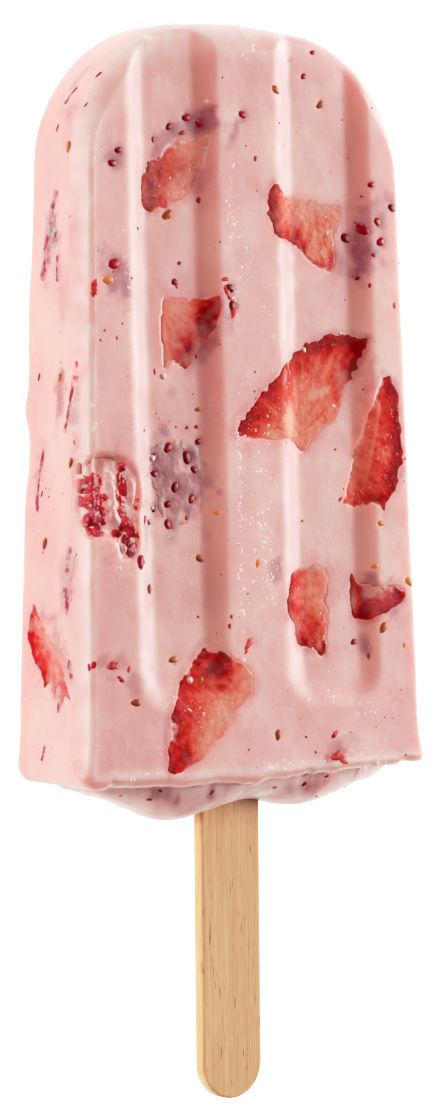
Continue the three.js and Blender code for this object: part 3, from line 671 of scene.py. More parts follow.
def rimWave(u):
    # the rim edge climbs towards the right and is nicked here and there
    return 1.25 * smooth((u - 4.0) / 19.0) + 0.42 * cloud(u, 0, 0, 3.3, 31) + 0.22 * cloud(u, 0, 0, 1.2, 32)


def wallSwell(z, v):
    bulge = 0.45 * np.exp(-(((v - 50.5) / 2.2) ** 2)) - 0.75 * np.exp(-(((v - 44.5) / 3.2) ** 2))
    return bulge * (1 - smooth((z - 2.0) / 7.0)) + 0.15 * cloud(0, v, z, 12.0, 24)


def frostAndPaintedLight(u, v):
    # whiter frost together with painted light: the side edges and the tip edge lightened as if lit, and a painted
    # highlight along the rim
    inside = edgeInside(u, v)
    sides = np.exp(-(((inside - 1.5) / 0.8) ** 2)) * (1 - smooth((v - 78) / 10)) * smooth((v + 1) / 2)
    tip = smooth(1.2 - inside / 4.6) * smooth((v - 74) / 12) * (1 - 0.5 * smooth(u / 14))
    rim = np.exp(-(((v - 0.2) / 0.6) ** 2))
    uneven = 0.85 + 0.3 * cloud(u, v, 0, 2.4, 35) + 0.2 * cloud(u, v, 0, 0.9, 36)
    return np.maximum(np.maximum(0.75 * sides, 0.85 * tip), 0.8 * rim) * uneven


def makeBlock(b):
    p = blockRings(b)
    n = gridNormals(p)
    if (n[len(p) // 2, 10] @ np.array([0, 0, 1])) < 0:
        n = -n
    u, v, z = p[..., 0], p[..., 1], p[..., 2]
    front = smooth((n[..., 2] - 0.15) / 0.45) * smooth((v + 0.3) / 1.0)
    left = smooth((-n[..., 0] - 0.35) / 0.4)
    push = relief(u, v, z) + front * (lips(u, v) - dents(u, v) - pocket(u, v, False))
    push = push + left * (wallSwell(z, v) - pocket(z, v, True))
    swollen = smooth((0.0 - v) / 0.6)
    push = push + swollen * (0.16 * cloud(u, v, z, 3.0, 33) + 0.10 * cloud(u, v, z, 1.4, 34))
    p = p + n * push[..., None]
    rise = rimWave(u) * (1 - smooth(v / 5.0)) * smooth((z - 7.0) / 8.0) * smooth((v + 0.9) / 0.8)
    crown = mould["crown"] * np.maximum(1 - (u / tipCentreU) ** 2, 0) * smooth((v - mould["length"] + 5) / 4.5)
    p[..., 1] += rise + crown + rimY
    points, quads, fans = closedFromRings(p)
    flat = lambda f: np.concatenate([f.ravel(), [f[0].mean(), f[-1].mean()]])
    under = swollen * smooth((cloud(u, v, z, 3.2, 43) + 0.5 * cloud(u, v, z, 1.5, 44) - 0.15) / 0.5)
    fields = {key: flat(value * front) for key, value in faceStains(u, v).items()}
    for key, wallKey, below in (("mauve", "wallMauve", 0.14), ("rose", "wallRose", 0.28), ("lilac", "wallLilac", 0.1)):
        fields[key] = np.maximum(fields[key], flat(np.maximum(stainAt(z, v, stains[wallKey]) * left, below * under)))
    for key, swellKey in (("mauve", "swellMauve"), ("rose", "swellRose")):
        fields[key] = np.maximum(fields[key], flat(stainAt(u, z, stains[swellKey]) * swollen))
    # pale: the frost and painted light above, plus painted light on the swell under the rim, its root crease and the
    # rim face, which would lie in shade
    root = np.exp(-(((v + 0.8) / 1.2) ** 2))
    fields["pale"] = flat(np.clip(frostAndPaintedLight(u, v) * front + (0.45 + 0.4 * root) * swollen + 0.4 * smooth((0.5 - v) / 0.4) * (1 - swollen),
                                  0, 1))
    return addPiece("yoghurtIce", points, quads, fans, fields)


iceBlock = makeBlock(block)
print("block:", len(iceBlock.data.polygons), "faces")


# ---------- fruit slices ----------
def onFace(u, v, lift):
    return np.stack([u, v + rimY, faceZ(u, v) + lift], -1)


def onWall(z, v, lift):
    return np.stack([wallX(z, v) - lift, v + rimY, z], -1)


sliceGrid = {"spacing": 0.17, "ringSpacing": 0.2, "thick": 3.2, "dip": 0.05, "dipWidth": 0.35, "sunk": 0.22, "lip": 0.03}


def makeSlice(name, s):
    # polar grid: the ragged outline drawn in to the middle; the cut face follows the block's skin plus lift and
    # roughness and dips under it at the outline; the body goes straight down and closes underneath
    place = onWall if s.get("wall") else onFace
    _, girth = closedCurve(s["corners"], 400)
    count = int(girth / sliceGrid["spacing"])
    loop, _ = closedCurve(s["corners"], count)
    along = np.roll(loop, -1, 0) - np.roll(loop, 1, 0)
    along /= np.linalg.norm(along, axis=1, keepdims=True)
    turned = np.sign(np.sum(loop[:, 0] * np.roll(loop[:, 1], -1) - loop[:, 1] * np.roll(loop[:, 0], -1)))
    outward = np.stack([along[:, 1], -along[:, 0]], -1) * turned
    seed = s["seed"]
    skinNear = np.exp(-(lineDistance(loop[:, 0], loop[:, 1], s["skinLine"], False) / 1.4) ** 2)
    size = s["toothSize"]
    teeth = cloud(loop[:, 0], loop[:, 1], 0, size, seed) + 0.5 * cloud(loop[:, 0], loop[:, 1], 0, size / 2, seed + 20)
    loop = loop + outward * (s["tooth"] * teeth * (0.45 + 0.75 * skinNear))[:, None]
    middle = loop.mean(0)
    steps = max(12, int(np.hypot(*(loop - middle).T).max() / sliceGrid["ringSpacing"]))
    q = np.linspace(0.02, 1, steps)[:, None, None]
    flat = middle + (loop - middle)[None] * q
    a, b = flat[..., 0], flat[..., 1]
    inside = lineDistance(a, b, loop, True)
    rough = 0.5 * cloud(a, b, 0, 2.0, seed + 1) + 0.3 * cloud(a, b, 0, 0.9, seed + 2) + 0.2 * cloud(a, b, 0, 0.45, seed + 3)
    rise = smooth(inside / sliceGrid["dipWidth"])
    cover = coverAt(a, b, inside, s)
    fromSkin = lineDistance(a, b, s["skinLine"], False)
    lip = sliceGrid["lip"] * np.exp(-(((inside - 0.55) / 0.35) ** 2) - (fromSkin / 0.9) ** 2) * (1 + cloud(a, b, 0, 1.1, seed + 4))
    bare = -sliceGrid["dip"] * (1 - rise) + (s["lift"] + s["rough"] * rough * smooth(inside / 0.8)) * rise + lip
    lift = bare * (1 - cover) - sliceGrid["sunk"] * cover
    top = place(a, b, lift)
    down = []
    for depth, shrink in ((0.5, 1.0), (1.4, 0.99), (2.4, 0.96), (sliceGrid["thick"], 0.88), (sliceGrid["thick"], 0.45)):
        ring = middle + (loop - middle) * shrink
        down.append(place(ring[:, 0], ring[:, 1], -sliceGrid["dip"] - depth))
    points, quads, fans = closedFromRings(np.concatenate([top, np.array(down)]))
    pad = np.zeros((len(down), count))
    flatten = lambda f: np.concatenate([np.concatenate([f, pad + f[-1:]]).ravel(), [f[0].mean(), 0.0]])
    core = np.array(s["core"])
    far = np.hypot(a - core[0], b - core[1])
    angle = np.arctan2(b - core[1], a - core[0])
    ripe = 0.66 * np.minimum(fromSkin / s["depth"], 1.15) + 0.5 * stainAt(a, b, s["pales"]) - 0.55 * stainAt(a, b, s["reds"])
    film = s["film"] * (0.5 + 0.9 * cloud(a, b, 0, 1.9, seed + 5) + 0.5 * cloud(a, b, 0, 0.8, seed + 6))
    film = np.maximum(film, stainAt(a, b, s["veils"]))
    film = np.maximum(film, smooth(cover * 5.0))
    mauve = stainAt(a, b, stains["wallMauve" if s.get("wall") else "mauve"])
    fields = {"ripe": flatten(ripe), "film": flatten(np.clip(film, 0, 1)), "rayX": flatten(np.cos(angle)),
              "rayY": flatten(np.sin(angle)), "far": flatten(far), "streak": flatten(np.full(far.shape, s["streak"])),
              "mauve": flatten(mauve)}
    return addPiece(name.replace("berry", "fruit"), points, quads, fans, fields)


fruitPieces = {name: makeSlice(name, s) for name, s in sliced.items()}


def makePatch(name, corners):
    # seeded skin seen through a film: a finer piece of the block's own face inside the loop, torn and sunk at its edge
    loop, girth = closedCurve(corners, 360)
    middle = loop.mean(0)
    q = np.linspace(0.02, 1, 56)[:, None, None]
    flat = middle + (loop - middle)[None] * q
    a, b = flat[..., 0], flat[..., 1]
    inside = lineDistance(a, b, loop, True)
    torn = 0.4 * cloud(a, b, 0, 1.4, 46) + 0.25 * cloud(a, b, 0, 0.6, 47)
    cover = smooth(1.0 - inside / 1.5 + torn)
    bloom = 0.03 * cloud(a, b, 0, 1.3, 49) + 0.02 * cloud(a, b, 0, 0.5, 50)
    top = onFace(a, b, (0.05 + bloom) * (1 - cover) - 0.10 * cover)
    down = [onFace(*(middle + (loop - middle) * shrink).T, -depth) for depth, shrink in ((0.9, 1.0), (2.0, 0.96), (2.0, 0.4))]
    points, quads, fans = closedFromRings(np.concatenate([top, np.array(down)]))
    pad = np.zeros((3, len(loop)))
    flatten = lambda f: np.concatenate([np.concatenate([f, pad + f[-1:]]).ravel(), [f[0].mean(), 0.0]])
    fields = faceStains(a, b)
    fields["mauve"] = np.clip(1.2 * fields["mauve"] + 0.18, 0, 1)
    return addPiece(name, points, quads, fans, {key: flatten(value) for key, value in fields.items()})


skinPatch = makePatch("fruit_skin_patch", fruit["berry_skin_patch"]["corners"])


# The broken chunk: domes (u, v, half across, half along, heading, height) of torn flesh and of yoghurt,
# and ovals (u, v, half across, half along, heading, strength) that are darker, mauve, or filmed over in tan
chunk = {
    "flesh": [(-26.5, 40.4, 1.6, 1.6, 4, 0.55), (-26.1, 38.2, 1.7, 1.8, 2, 0.7), (-25.9, 36.0, 1.6, 1.8, -4, 0.76),
              (-25.9, 34.3, 1.3, 0.9, 0, 0.55), (-27.7, 42.6, 0.34, 0.95, 0, 0.30), (-22.0, 42.9, 0.66, 0.62, 0, 0.62),
              (-22.3, 41.4, 0.32, 0.8, -10, 0.30), (-22.9, 39.6, 0.36, 1.0, 14, 0.34), (-21.2, 40.0, 1.0, 1.6, 8, 0.34),
              (-22.2, 38.5, 0.5, 0.6, 0, 0.50), (-21.9, 36.9, 0.75, 0.9, 20, 0.42), (-21.6, 35.2, 1.1, 0.8, 10, 0.60),
              (-20.3, 34.3, 1.2, 0.62, -34, 0.50), (-22.7, 33.9, 0.8, 0.66, 30, 0.48), (-21.2, 33.0, 0.7, 0.8, 0, 0.30),
              (-20.5, 31.8, 0.8, 1.1, -10, 0.30), (-19.5, 37.4, 0.3, 0.42, 0, 0.30), (-19.1, 38.4, 0.36, 0.36, 0, 0.30)],
    "milk": [(-23.7, 41.6, 0.8, 0.8, -20, 0.66), (-23.8, 40.1, 0.8, 1.7, 6, 0.74), (-23.5, 38.2, 0.6, 0.9, -24, 0.55),
             (-23.0, 35.9, 0.9, 1.6, 14, 0.5), (-20.4, 39.6, 0.9, 1.8, 8, 0.46), (-22.0, 32.0, 0.62, 0.8, 30, 0.44),
             (-20.0, 36.3, 0.7, 0.9, 0, 0.34)],
    # dark: dark flesh together with painted shade in the creases and holes
    "dark": [(-22.3, 41.0, 0.3, 1.2, -6, 0.9), (-22.9, 39.4, 0.3, 1.0, 10, 0.9), (-22.2, 38.4, 0.36, 0.5, 0, 1.2),
             (-21.5, 33.4, 0.5, 0.36, 0, 1.1), (-21.0, 32.7, 0.36, 0.5, 0, 1.0), (-25.2, 36.6, 0.24, 1.3, 0, 0.9),
             (-27.8, 37.6, 0.22, 3.0, 0, 0.5), (-19.5, 37.4, 0.3, 0.36, 0, 0.9), (-26.9, 40.9, 1.0, 0.9, 0, 0.35)],
    "mauve": [(-26.4, 36.6, 0.7, 1.4, 0, 0.7), (-23.6, 35.8, 0.9, 1.5, 14, 0.4), (-22.0, 36.9, 0.5, 0.7, 0, 0.4), (-22.1, 32.0, 0.6, 0.8, 0, 0.9),
              (-20.5, 31.4, 0.9, 1.3, 0, 0.8), (-20.9, 37.9, 0.5, 0.6, 0, 0.3), (-28.3, 41.0, 0.4, 1.4, 0, 0.6)],
    "tan": [(-24.2, 43.5, 2.0, 0.6, 0, 0.9), (-25.4, 42.5, 1.6, 0.8, 0, 0.35), (-19.2, 38.3, 0.5, 0.4, 0, 0.7)],
    "pink": [(-21.0, 40.2, 1.0, 1.5, 8, 0.8), (-20.4, 38.6, 0.9, 0.8, 0, 0.6), (-25.4, 43.2, 2.4, 1.0, 0, 0.5),
             (-24.0, 37.2, 1.6, 0.5, 0, 0.5), (-27.8, 43.4, 0.9, 0.6, 0, 0.6)]}


def domes(a, b, spots, seed, torn):
    # the highest of many low domes: height times the square root of 1 minus the squared torn radius
    best = np.zeros(np.shape(a))
    ragged = torn * (0.6 * cloud(a, b, 0, 0.9, seed) + 0.4 * cloud(a, b, 0, 0.4, seed + 1))
    for ca, cb, ra, rb, turn, height in spots:
        c, n = math.cos(math.radians(turn)), math.sin(math.radians(turn))
        x, y = ((a - ca) * c + (b - cb) * n) / ra, (-(a - ca) * n + (b - cb) * c) / rb
        best = np.maximum(best, height * np.sqrt(np.maximum(1 - (np.hypot(x, y) + ragged) ** 2, 0)))
    return best


def makeChunk(name, corners):
    # one torn surface over the floor of the broken place: floor plus the higher of flesh and yoghurt domes, pulpy on flesh
    loop, girth = closedCurve(corners, 420)
    middle = loop.mean(0)
    q = np.linspace(0.012, 1, 84)[:, None, None]
    flat = middle + (loop - middle)[None] * q
    a, b = flat[..., 0], flat[..., 1]
    inside = lineDistance(a, b, loop, True)
    flesh = domes(a, b, chunk["flesh"], 71, 0.55)
    milk = domes(a, b, chunk["milk"], 76, 0.22)
    red = smooth((flesh - milk) / 0.10 + 0.1)
    pulpy = red * (0.10 * cloud(a, b, 0, 0.7, 78) + 0.07 * cloud(a, b, 0, 0.3, 79))
    lift = (0.05 + np.maximum(flesh, milk) + pulpy + 0.03 * cloud(a, b, 0, 1.0, 80)) * smooth(inside / 0.5) - 0.05
    top = onFace(a, b, lift)
    down = [onFace(*(middle + (loop - middle) * shrink).T, -depth) for depth, shrink in ((1.0, 1.0), (2.0, 0.94), (2.0, 0.4))]
    points, quads, fans = closedFromRings(np.concatenate([top, np.array(down)]))
    pad = np.zeros((3, len(loop)))
    flatten = lambda f: np.concatenate([np.concatenate([f, pad + f[-1:]]).ravel(), [f[0].mean(), 0.0]])
    rim = np.exp(-((lineDistance(a, b, [(-27.2, 43.2), (-26.0, 44.0), (-24.2, 44.2), (-22.4, 44.0)], False) / 0.22) ** 2))
    edge = 1 - smooth(inside / 0.5)
    fields = {"red": flatten(red * (1 - edge)), "deep": flatten(np.maximum(stainAt(a, b, chunk["dark"]), 0.6 * rim)),
              "mauve": flatten(stainAt(a, b, chunk["mauve"])), "tan": flatten(stainAt(a, b, chunk["tan"])),
              "pink": flatten(stainAt(a, b, chunk["pink"])), "melt": flatten(1 - smooth((inside - 0.3) / 1.1))}
    return addPiece(name, points, quads, fans, fields)


def strand(place, path, wide, thick, lift, outSign, seed=0, torn=0.34, cols=14):
    # strand along a path on a surface: lens section wide across and thick out of it, half-circle ends, torn by noise
    p = np.asarray(path, float)
    run = np.concatenate([[0], np.cumsum(np.hypot(*np.diff(p, axis=0).T))])
    along = np.linspace(-wide, run[-1] + wide, max(18, int((run[-1] + 2 * wide) / 0.16)))[1:-1]
    line = np.stack([np.interp(along, run, p[:, 0]), np.interp(along, run, p[:, 1])], -1)
    for _ in range(6):
        line[1:-1] = (line[:-2] + 2 * line[1:-1] + line[2:]) / 4
    first, last = p[0] - p[1], p[-1] - p[-2]
    line = line + (np.minimum(along, 0) * -1)[:, None] * first / np.hypot(*first)
    line = line + np.maximum(along - run[-1], 0)[:, None] * last / np.hypot(*last)
    line = line + 0.12 * np.stack([cloud(along, seed, 0, 1.3, 74), cloud(along, seed, 9, 1.3, 74)], -1)
    ends = np.clip(np.minimum(along + wide, run[-1] + wide - along) / wide, 0, 1)
    swelling = np.sqrt(1 - (1 - ends) ** 2)[:, None]
    centre = place(line[:, 0], line[:, 1], lift)
    for _ in range(6):
        centre[1:-1] = (centre[:-2] + 2 * centre[1:-1] + centre[2:]) / 4
    tangent = np.gradient(centre, axis=0)
    tangent /= np.linalg.norm(tangent, axis=1, keepdims=True)
    out = np.asarray(outSign, float) - tangent * (tangent @ np.asarray(outSign, float))[:, None]
    out /= np.linalg.norm(out, axis=1, keepdims=True)
    side = np.cross(tangent, out)
    a = np.linspace(0, 2 * math.pi, cols, endpoint=False)[None]
    x, z = np.cos(a) + 0 * along[:, None], np.sin(a) + 0 * along[:, None]
    uneven = swelling * (1 + torn * cloud(along[:, None] + seed * 5.3, x * 0.8, z * 0.8, 0.9, 73)
                         + torn * 0.5 * cloud(along[:, None] + seed * 5.3, x * 0.8, z * 0.8, 0.4, 75))
    rings = (centre[:, None] + side[:, None] * (x * wide * uneven)[..., None]
             + out[:, None] * (z * thick * uneven)[..., None])
    edge = np.concatenate([(np.abs(x) ** 1.5).ravel(), [1.0, 1.0]])
    return (*closedFromRings(rings), edge)


up, leftward, rightward, downward = (0, 0, 1), (-1, 0, 0), (1, 0, 0), (0, 0, -1)
chunkFlesh = makeChunk("fruit_chunk_left", fruit["berry_chunk_left"]["corners"])
print("fruit pieces:", len(fruitPieces) + 2)


# ---------- seeds, specks, shreds and ice crystals ----------
def onBack(u, v, lift):
    z = backDrop(u, v) - relief(u, v, 0) - lift
    return np.stack([u, v + rimY, z], -1)


def onRight(z, v, lift):
    return np.stack([halfWidth(v) + relief(halfWidth(v), v, z) + lift, v + rimY, z], -1)


def onSwell(u, z, lift):
    # the cushion under the rim: its base surface pushed along its normal like the block's
    def base(a, b):
        return np.stack([a, -swellDrop(a, b), b], -1)

    n = np.cross(base(u + 0.1, z) - base(u - 0.1, z), base(u, z + 0.1) - base(u, z - 0.1))
    n /= np.linalg.norm(n, axis=-1, keepdims=True)
    n *= -np.sign(n[..., 1:2])
    v = -swellDrop(u, z)
    push = relief(u, v, z) + 0.16 * cloud(u, v, z, 3.0, 33) + 0.10 * cloud(u, v, z, 1.4, 34) + lift
    return base(u, z) + n * push[..., None] + np.array([0, rimY, 0])


def seedBody(rows, cols, point):
    # teardrop of unit length along x: radius = sine of the angle, drawn in towards one end by point
    t = np.linspace(0.12, math.pi - 0.12, rows)[:, None]
    a = np.linspace(0, 2 * math.pi, cols, endpoint=False)[None]
    r = 0.5 * np.sin(t) * (1 - point * np.cos(t))
    rings = np.stack([-0.5 * np.cos(t) + 0 * a, r * np.cos(a), r * np.sin(a)], -1)
    return closedFromRings(rings)


def scatter(place, spots, body, width, height, lift, outSign, lumps=0.0, seed=0):
    # each spot (a, b, heading, length): the body scaled, turned to its heading and laid on the surface's own tangents
    points, quads, fans = body
    s = np.asarray(spots, float)
    a, b, heading, long = s[:, 0], s[:, 1], np.radians(s[:, 2]), s[:, 3]
    step = 0.25
    centre = place(a, b, lift)
    ta = place(a + step, b, lift) - place(a - step, b, lift)
    tb = place(a, b + step, lift) - place(a, b - step, lift)
    ta /= np.linalg.norm(ta, axis=1, keepdims=True)
    n = np.cross(ta, tb)
    n /= np.linalg.norm(n, axis=1, keepdims=True)
    n *= np.sign(n @ np.array(outSign))[:, None]
    along = np.cos(heading)[:, None] * ta + np.sin(heading)[:, None] * tb
    along /= np.linalg.norm(along, axis=1, keepdims=True)
    side = np.cross(n, along)
    scale = np.stack([long, long * width, long * height], -1)
    local = points[None] * scale[:, None]
    if lumps:
        rng = np.random.default_rng(seed)
        bump = rng.normal(0, lumps, (len(s), len(points), 1))
        local = local * (1 + bump)
    world = (centre[:, None] + local[..., :1] * along[:, None] + local[..., 1:2] * side[:, None]
             + local[..., 2:] * n[:, None])
    shift = (np.arange(len(s)) * len(points))[:, None, None]
    return world.reshape(-1, 3), (quads[None] + shift).reshape(-1, 4), (fans[None] + shift).reshape(-1, 3)


teardrop = seedBody(8, 10, 0.28)
flatDrop = seedBody(7, 12, 0.12)
crumb = seedBody(4, 6, 0.1)

darkSeeds = addPiece("sunkSeedFlesh", *joinShapes([
    scatter(onFace, seeds["sunk"], flatDrop, 0.70, 0.30, 0.05, up, 0.09, 1),
    scatter(onWall, seeds["wallSunk"], flatDrop, 0.34, 0.24, 0.0, leftward, 0.08, 2),
    scatter(onSwell, seeds["swellSunk"], flatDrop, 0.6, 0.3, 0.04, (0, -1, 0), 0.08, 15)]))
goldSeeds = addPiece("seeds", *joinShapes([
    scatter(onFace, [(a, b, turn, 0.95 * long) for a, b, turn, long in seeds["gold"]], teardrop, 0.66, 0.36, 0.04, up, 0.07, 3),
    scatter(onFace, seeds["cored"], teardrop, 0.58, 0.40, 0.20, up, 0.03, 4),
    scatter(onWall, seeds["wallGold"], teardrop, 0.42, 0.36, 0.08, leftward, 0.03, 5),
    scatter(onSwell, seeds["swellGold"], teardrop, 0.5, 0.36, 0.04, (0, -1, 0), 0.05, 16)]))
redBits = addPiece("redFlecks", *scatter(onFace, seeds["red"], flatDrop, 0.78, 0.34, 0.06, up, 0.12, 6))
print("seeds placed")

# Thin shreds and torn bits of fruit: (a, b, heading, length) with their own width
# wall: (path of (z, v), half width); bits: (u, v, heading, length) lying on the face
shreds = {
    "wall": [([(7.1, 79.4), (6.6, 78.0), (6.3, 76.8)], 0.30), ([(6.2, 76.4), (5.5, 74.0), (4.9, 71.0), (4.6, 68.6)], 0.34),
             ([(6.9, 74.4), (7.1, 73.2)], 0.36), ([(5.7, 72.4), (5.4, 70.6)], 0.22), ([(7.9, 71.0), (8.2, 68.0)], 0.16),
             ([(13.2, 56.2), (12.8, 54.2), (12.3, 52.2)], 0.34), ([(12.0, 51.4), (11.4, 49.2), (10.8, 47.6)], 0.17),
             ([(4.6, 44.4), (4.3, 42.6)], 0.34), ([(4.1, 41.4), (4.2, 39.4), (4.3, 37.0)], 0.20),
             ([(12.6, 31.4), (12.2, 28.6), (12.0, 26.6)], 0.40), ([(12.1, 25.8), (12.3, 23.6)], 0.30),
             ([(12.8, 47.2), (13.4, 45.4)], 0.16), ([(7.5, 5.0), (7.1, 3.6)], 0.16), ([(10.8, 12.0), (10.9, 10.2)], 0.16),
             ([(13.0, 16.8), (13.6, 15.0)], 0.22), ([(8.0, 93.4), (7.4, 91.8)], 0.18)],
    "bits": [(-24.1, 16.4, 10, 2.0), (-22.9, 14.6, -50, 1.3), (-21.6, 15.9, 80, 0.9), (-1.8, 18.8, 70, 1.9),
             (-2.2, 17.8, 60, 0.9), (12.5, 5.9, 60, 1.4), (12.9, 2.9, 10, 2.6), (14.0, 2.1, -20, 1.4),
             (-25.8, 66.6, 85, 2.2), (-3.9, 67.0, 100, 2.2), (-3.0, 64.4, 80, 2.2), (-4.4, 68.6, 20, 1.1),
             (-27.6, 16.3, 90, 0.9), (-9.9, 88.4, 30, 1.2), (-15.4, 55.8, 90, 0.8), (15.6, 38.6, 60, 0.8),
             (-18.0, 35.8, 80, 1.2)]}
fruitShreds = addPiece("fruitShreds", *scatter(onFace, shreds["bits"], seedBody(12, 14, 0.1), 0.5, 0.12, 0.02, up, 0.18, 8))
strands = [strand(onWall, path, wide * 2.7, 0.07, -0.03, leftward, i, 0.4) for i, (path, wide) in enumerate(shreds["wall"])]
wallStrands = addPiece("wallStrands", *joinShapes([shape[:3] for shape in strands]),
                       {"edge": np.concatenate([shape[3] for shape in strands])})

# Beads of clear ice and juice: (u, v, radius) on the face
beads = [(-14.1, 55.2, 0.55), (-16.1, 44.1, 0.5), (-11.1, 14.1, 0.5), (9.7, 59.3, 0.42), (26.0, 44.4, 0.45),
         (25.8, 41.3, 0.36), (-16.3, 37.4, 0.3), (-22.8, 29.4, 0.3), (16.2, 61.8, 0.3), (-3.0, 47.6, 0.3),
         (5.5, 46.4, 0.32), (-1.7, 47.2, 0.24), (14.7, 51.6, 0.3), (-28.2, 31.2, 0.3), (-6.4, 92.8, 0.26),
         (-26.7, 39.8, 0.36), (-26.5, 38.0, 0.3), (-24.2, 42.2, 0.3), (-26.6, 33.9, 0.34), (-22.6, 33.0, 0.32)]


def randomSpots(rng, count, lowA, highA, lowB, highB, small, big):
    return np.stack([rng.uniform(lowA, highA, count), rng.uniform(lowB, highB, count), rng.uniform(0, 180, count),
                     small + (big - small) * rng.random(count) ** 2.2], -1)


rng = np.random.default_rng(5)
specks = {"face": 120, "wall": 34, "back": 90, "right": 26, "small": 0.18, "big": 0.55}
speckPiece = addPiece("fruitSpecks", *joinShapes([
    scatter(onFace, randomSpots(rng, specks["face"], -25, 25, 2, 98, specks["small"], specks["big"]), crumb, 0.8, 0.5,
            0.02, up, 0.1, 9),
    scatter(onWall, randomSpots(rng, specks["wall"], 3, 12, 4, 82, specks["small"], specks["big"]), crumb, 0.6, 0.4,
            0.02, leftward, 0.1, 10),
    scatter(onBack, randomSpots(rng, specks["back"], -25, 25, 2, 98, specks["small"], 1.3), crumb, 0.8, 0.4,
            0.02, downward, 0.1, 11),
    scatter(onRight, randomSpots(rng, specks["right"], 3, 12, 4, 82, specks["small"], 0.9), crumb, 0.6, 0.4,
            0.02, rightward, 0.1, 12)]))

# Ice crystals in drifts, near-white so that they show as painted glints of the light: (u, v, spread across, spread
# along, count)
drifts = [(-25.4, 86.5, 0.5, 5.0, 46), (-26.3, 50.0, 0.35, 5.0, 30), (-2.7, 74.0, 0.7, 5.5, 60), (-2.2, 66.8, 0.5, 1.6, 24),
          (-2.8, 46.0, 0.28, 4.0, 60), (-2.7, 34.0, 0.3, 7.5, 90), (-0.8, 36.0, 1.2, 6.0, 40), (1.7, 39.0, 0.8, 4.6, 56),
          (1.8, 28.6, 1.1, 3.0, 46), (-0.6, 24.0, 1.6, 4.0, 34), (9.4, 11.4, 2.4, 0.8, 34), (16.0, 9.6, 2.0, 0.9, 36),
          (-15.2, 101.2, 1.0, 0.7, 26), (1.2, 100.6, 1.6, 0.8, 30), (-22.6, 1.6, 2.2, 0.4, 22), (3.6, 1.9, 2.6, 0.4, 26),
          (14.6, 2.6, 2.4, 0.7, 34), (21.0, 2.4, 2.2, 0.9, 26), (6.4, 56.0, 0.6, 2.4, 40), (-14.0, 10.6, 1.0, 2.6, 36),
          (-10.6, 9.0, 1.4, 0.7, 26), (-12.0, 29.0, 2.6, 3.0, 22), (9.6, 89.0, 1.2, 1.4, 14), (3.2, 47.6, 1.4, 2.0, 16),
          (-11.6, 84.4, 2.2, 2.2, 40), (22.8, 48.0, 1.6, 4.0, 30), (11.8, 22.0, 0.8, 4.0, 26), (14.6, 74.0, 0.8, 2.6, 24),
          (-19.9, 52.0, 0.4, 6.0, 24), (-20.3, 69.0, 0.4, 3.0, 22), (3.4, 64.0, 1.2, 2.2, 14), (0.5, 70.0, 1.4, 3.0, 26)]
driftSpots = np.vstack([np.stack([rng.normal(u, du, n), np.clip(rng.normal(v, dv, n), 1.0, 101.0),
                                  rng.normal(88, 22, n), 0.10 + 0.44 * rng.random(n) ** 2.6], -1)
                        for u, v, du, dv, n in drifts])
iceBeads = addPiece("iceBeads", *scatter(onFace, [(u, v, 40 * i, 2 * r) for i, (u, v, r) in enumerate(beads)],
                                         seedBody(12, 18, 0.0), 0.92, 0.7, 0.04, up, 0.03, 14))
crystalGlints = addPiece("glintCrystals", *scatter(onFace, driftSpots, crumb, 0.38, 0.30, 0.04, up, 0.25, 13))
print("crystals:", len(driftSpots))

# ---------- stick ----------
stick = {"long": 114.0, "wide": 10.0, "thick": 2.0, "edge": 0.32, "out": 44.6, "step": 0.5, "columns": 44}
tilt = math.atan((mould["rimThick"] - mould["tipThick"]) / 2 / mould["length"])


def makeStick(s):
    # flat bar with half-circle ends; its faces drop as a quarter circle near the outline and carry a faint grain
    radius = s["wide"] / 2
    reach = s["long"] / 2 - radius
    phi = np.linspace(math.pi / 2 - 0.02, 0, 26)
    straight = np.arange(-reach, reach, s["step"])[1:]
    y = np.concatenate([-reach - radius * np.sin(phi), straight, reach + radius * np.sin(phi[::-1])])[:, None]
    half = np.concatenate([radius * np.cos(phi), np.full(len(straight), radius), radius * np.cos(phi[::-1])])[:, None]
    x = np.linspace(1, -1, s["columns"])
    x = np.sin(x * math.pi / 2) * 0.35 + x * 0.65
    x = x[None] * half
    inside = radius - np.hypot(x, np.maximum(np.abs(y) - reach, 0))
    short = np.maximum(s["edge"] - inside, 0)
    z = s["thick"] / 2 - (s["edge"] - np.sqrt(np.maximum(s["edge"] ** 2 - short ** 2, 0)))
    grain = 0.012 * cloud(x * 3.4, y * 0.12, 0, 1.0, 51) + 0.02 * cloud(x, y * 0.1, 0, 2.0, 52)
    y = np.broadcast_to(y, x.shape)
    top = np.stack([x, y, z + grain], -1)
    under = np.stack([x[:, ::-1], y, -z[:, ::-1] + grain], -1)
    rings = np.concatenate([top, under], 1)
    c, n = math.cos(tilt), math.sin(tilt)
    middle = s["long"] / 2 - s["out"]
    px = rings[..., 0]
    py = rings[..., 1] * c + rings[..., 2] * n + middle + rimY
    pz = -rings[..., 1] * n + rings[..., 2] * c + mould["rimThick"] / 2 - middle * math.tan(tilt)
    return addPiece("lollyStick", *closedFromRings(np.stack([px, py, pz], -1)))


lollyStick = makeStick(stick)
print("stick made")


# ---------- finishes ----------
def tone(r, g, b):
    # screen colour 0-255 to the linear colour the shader wants
    c = np.array([r, g, b]) / 255
    lin = np.where(c <= 0.04045, c / 12.92, ((c + 0.055) / 1.055) ** 2.4)
    return (*lin.tolist(), 1.0)


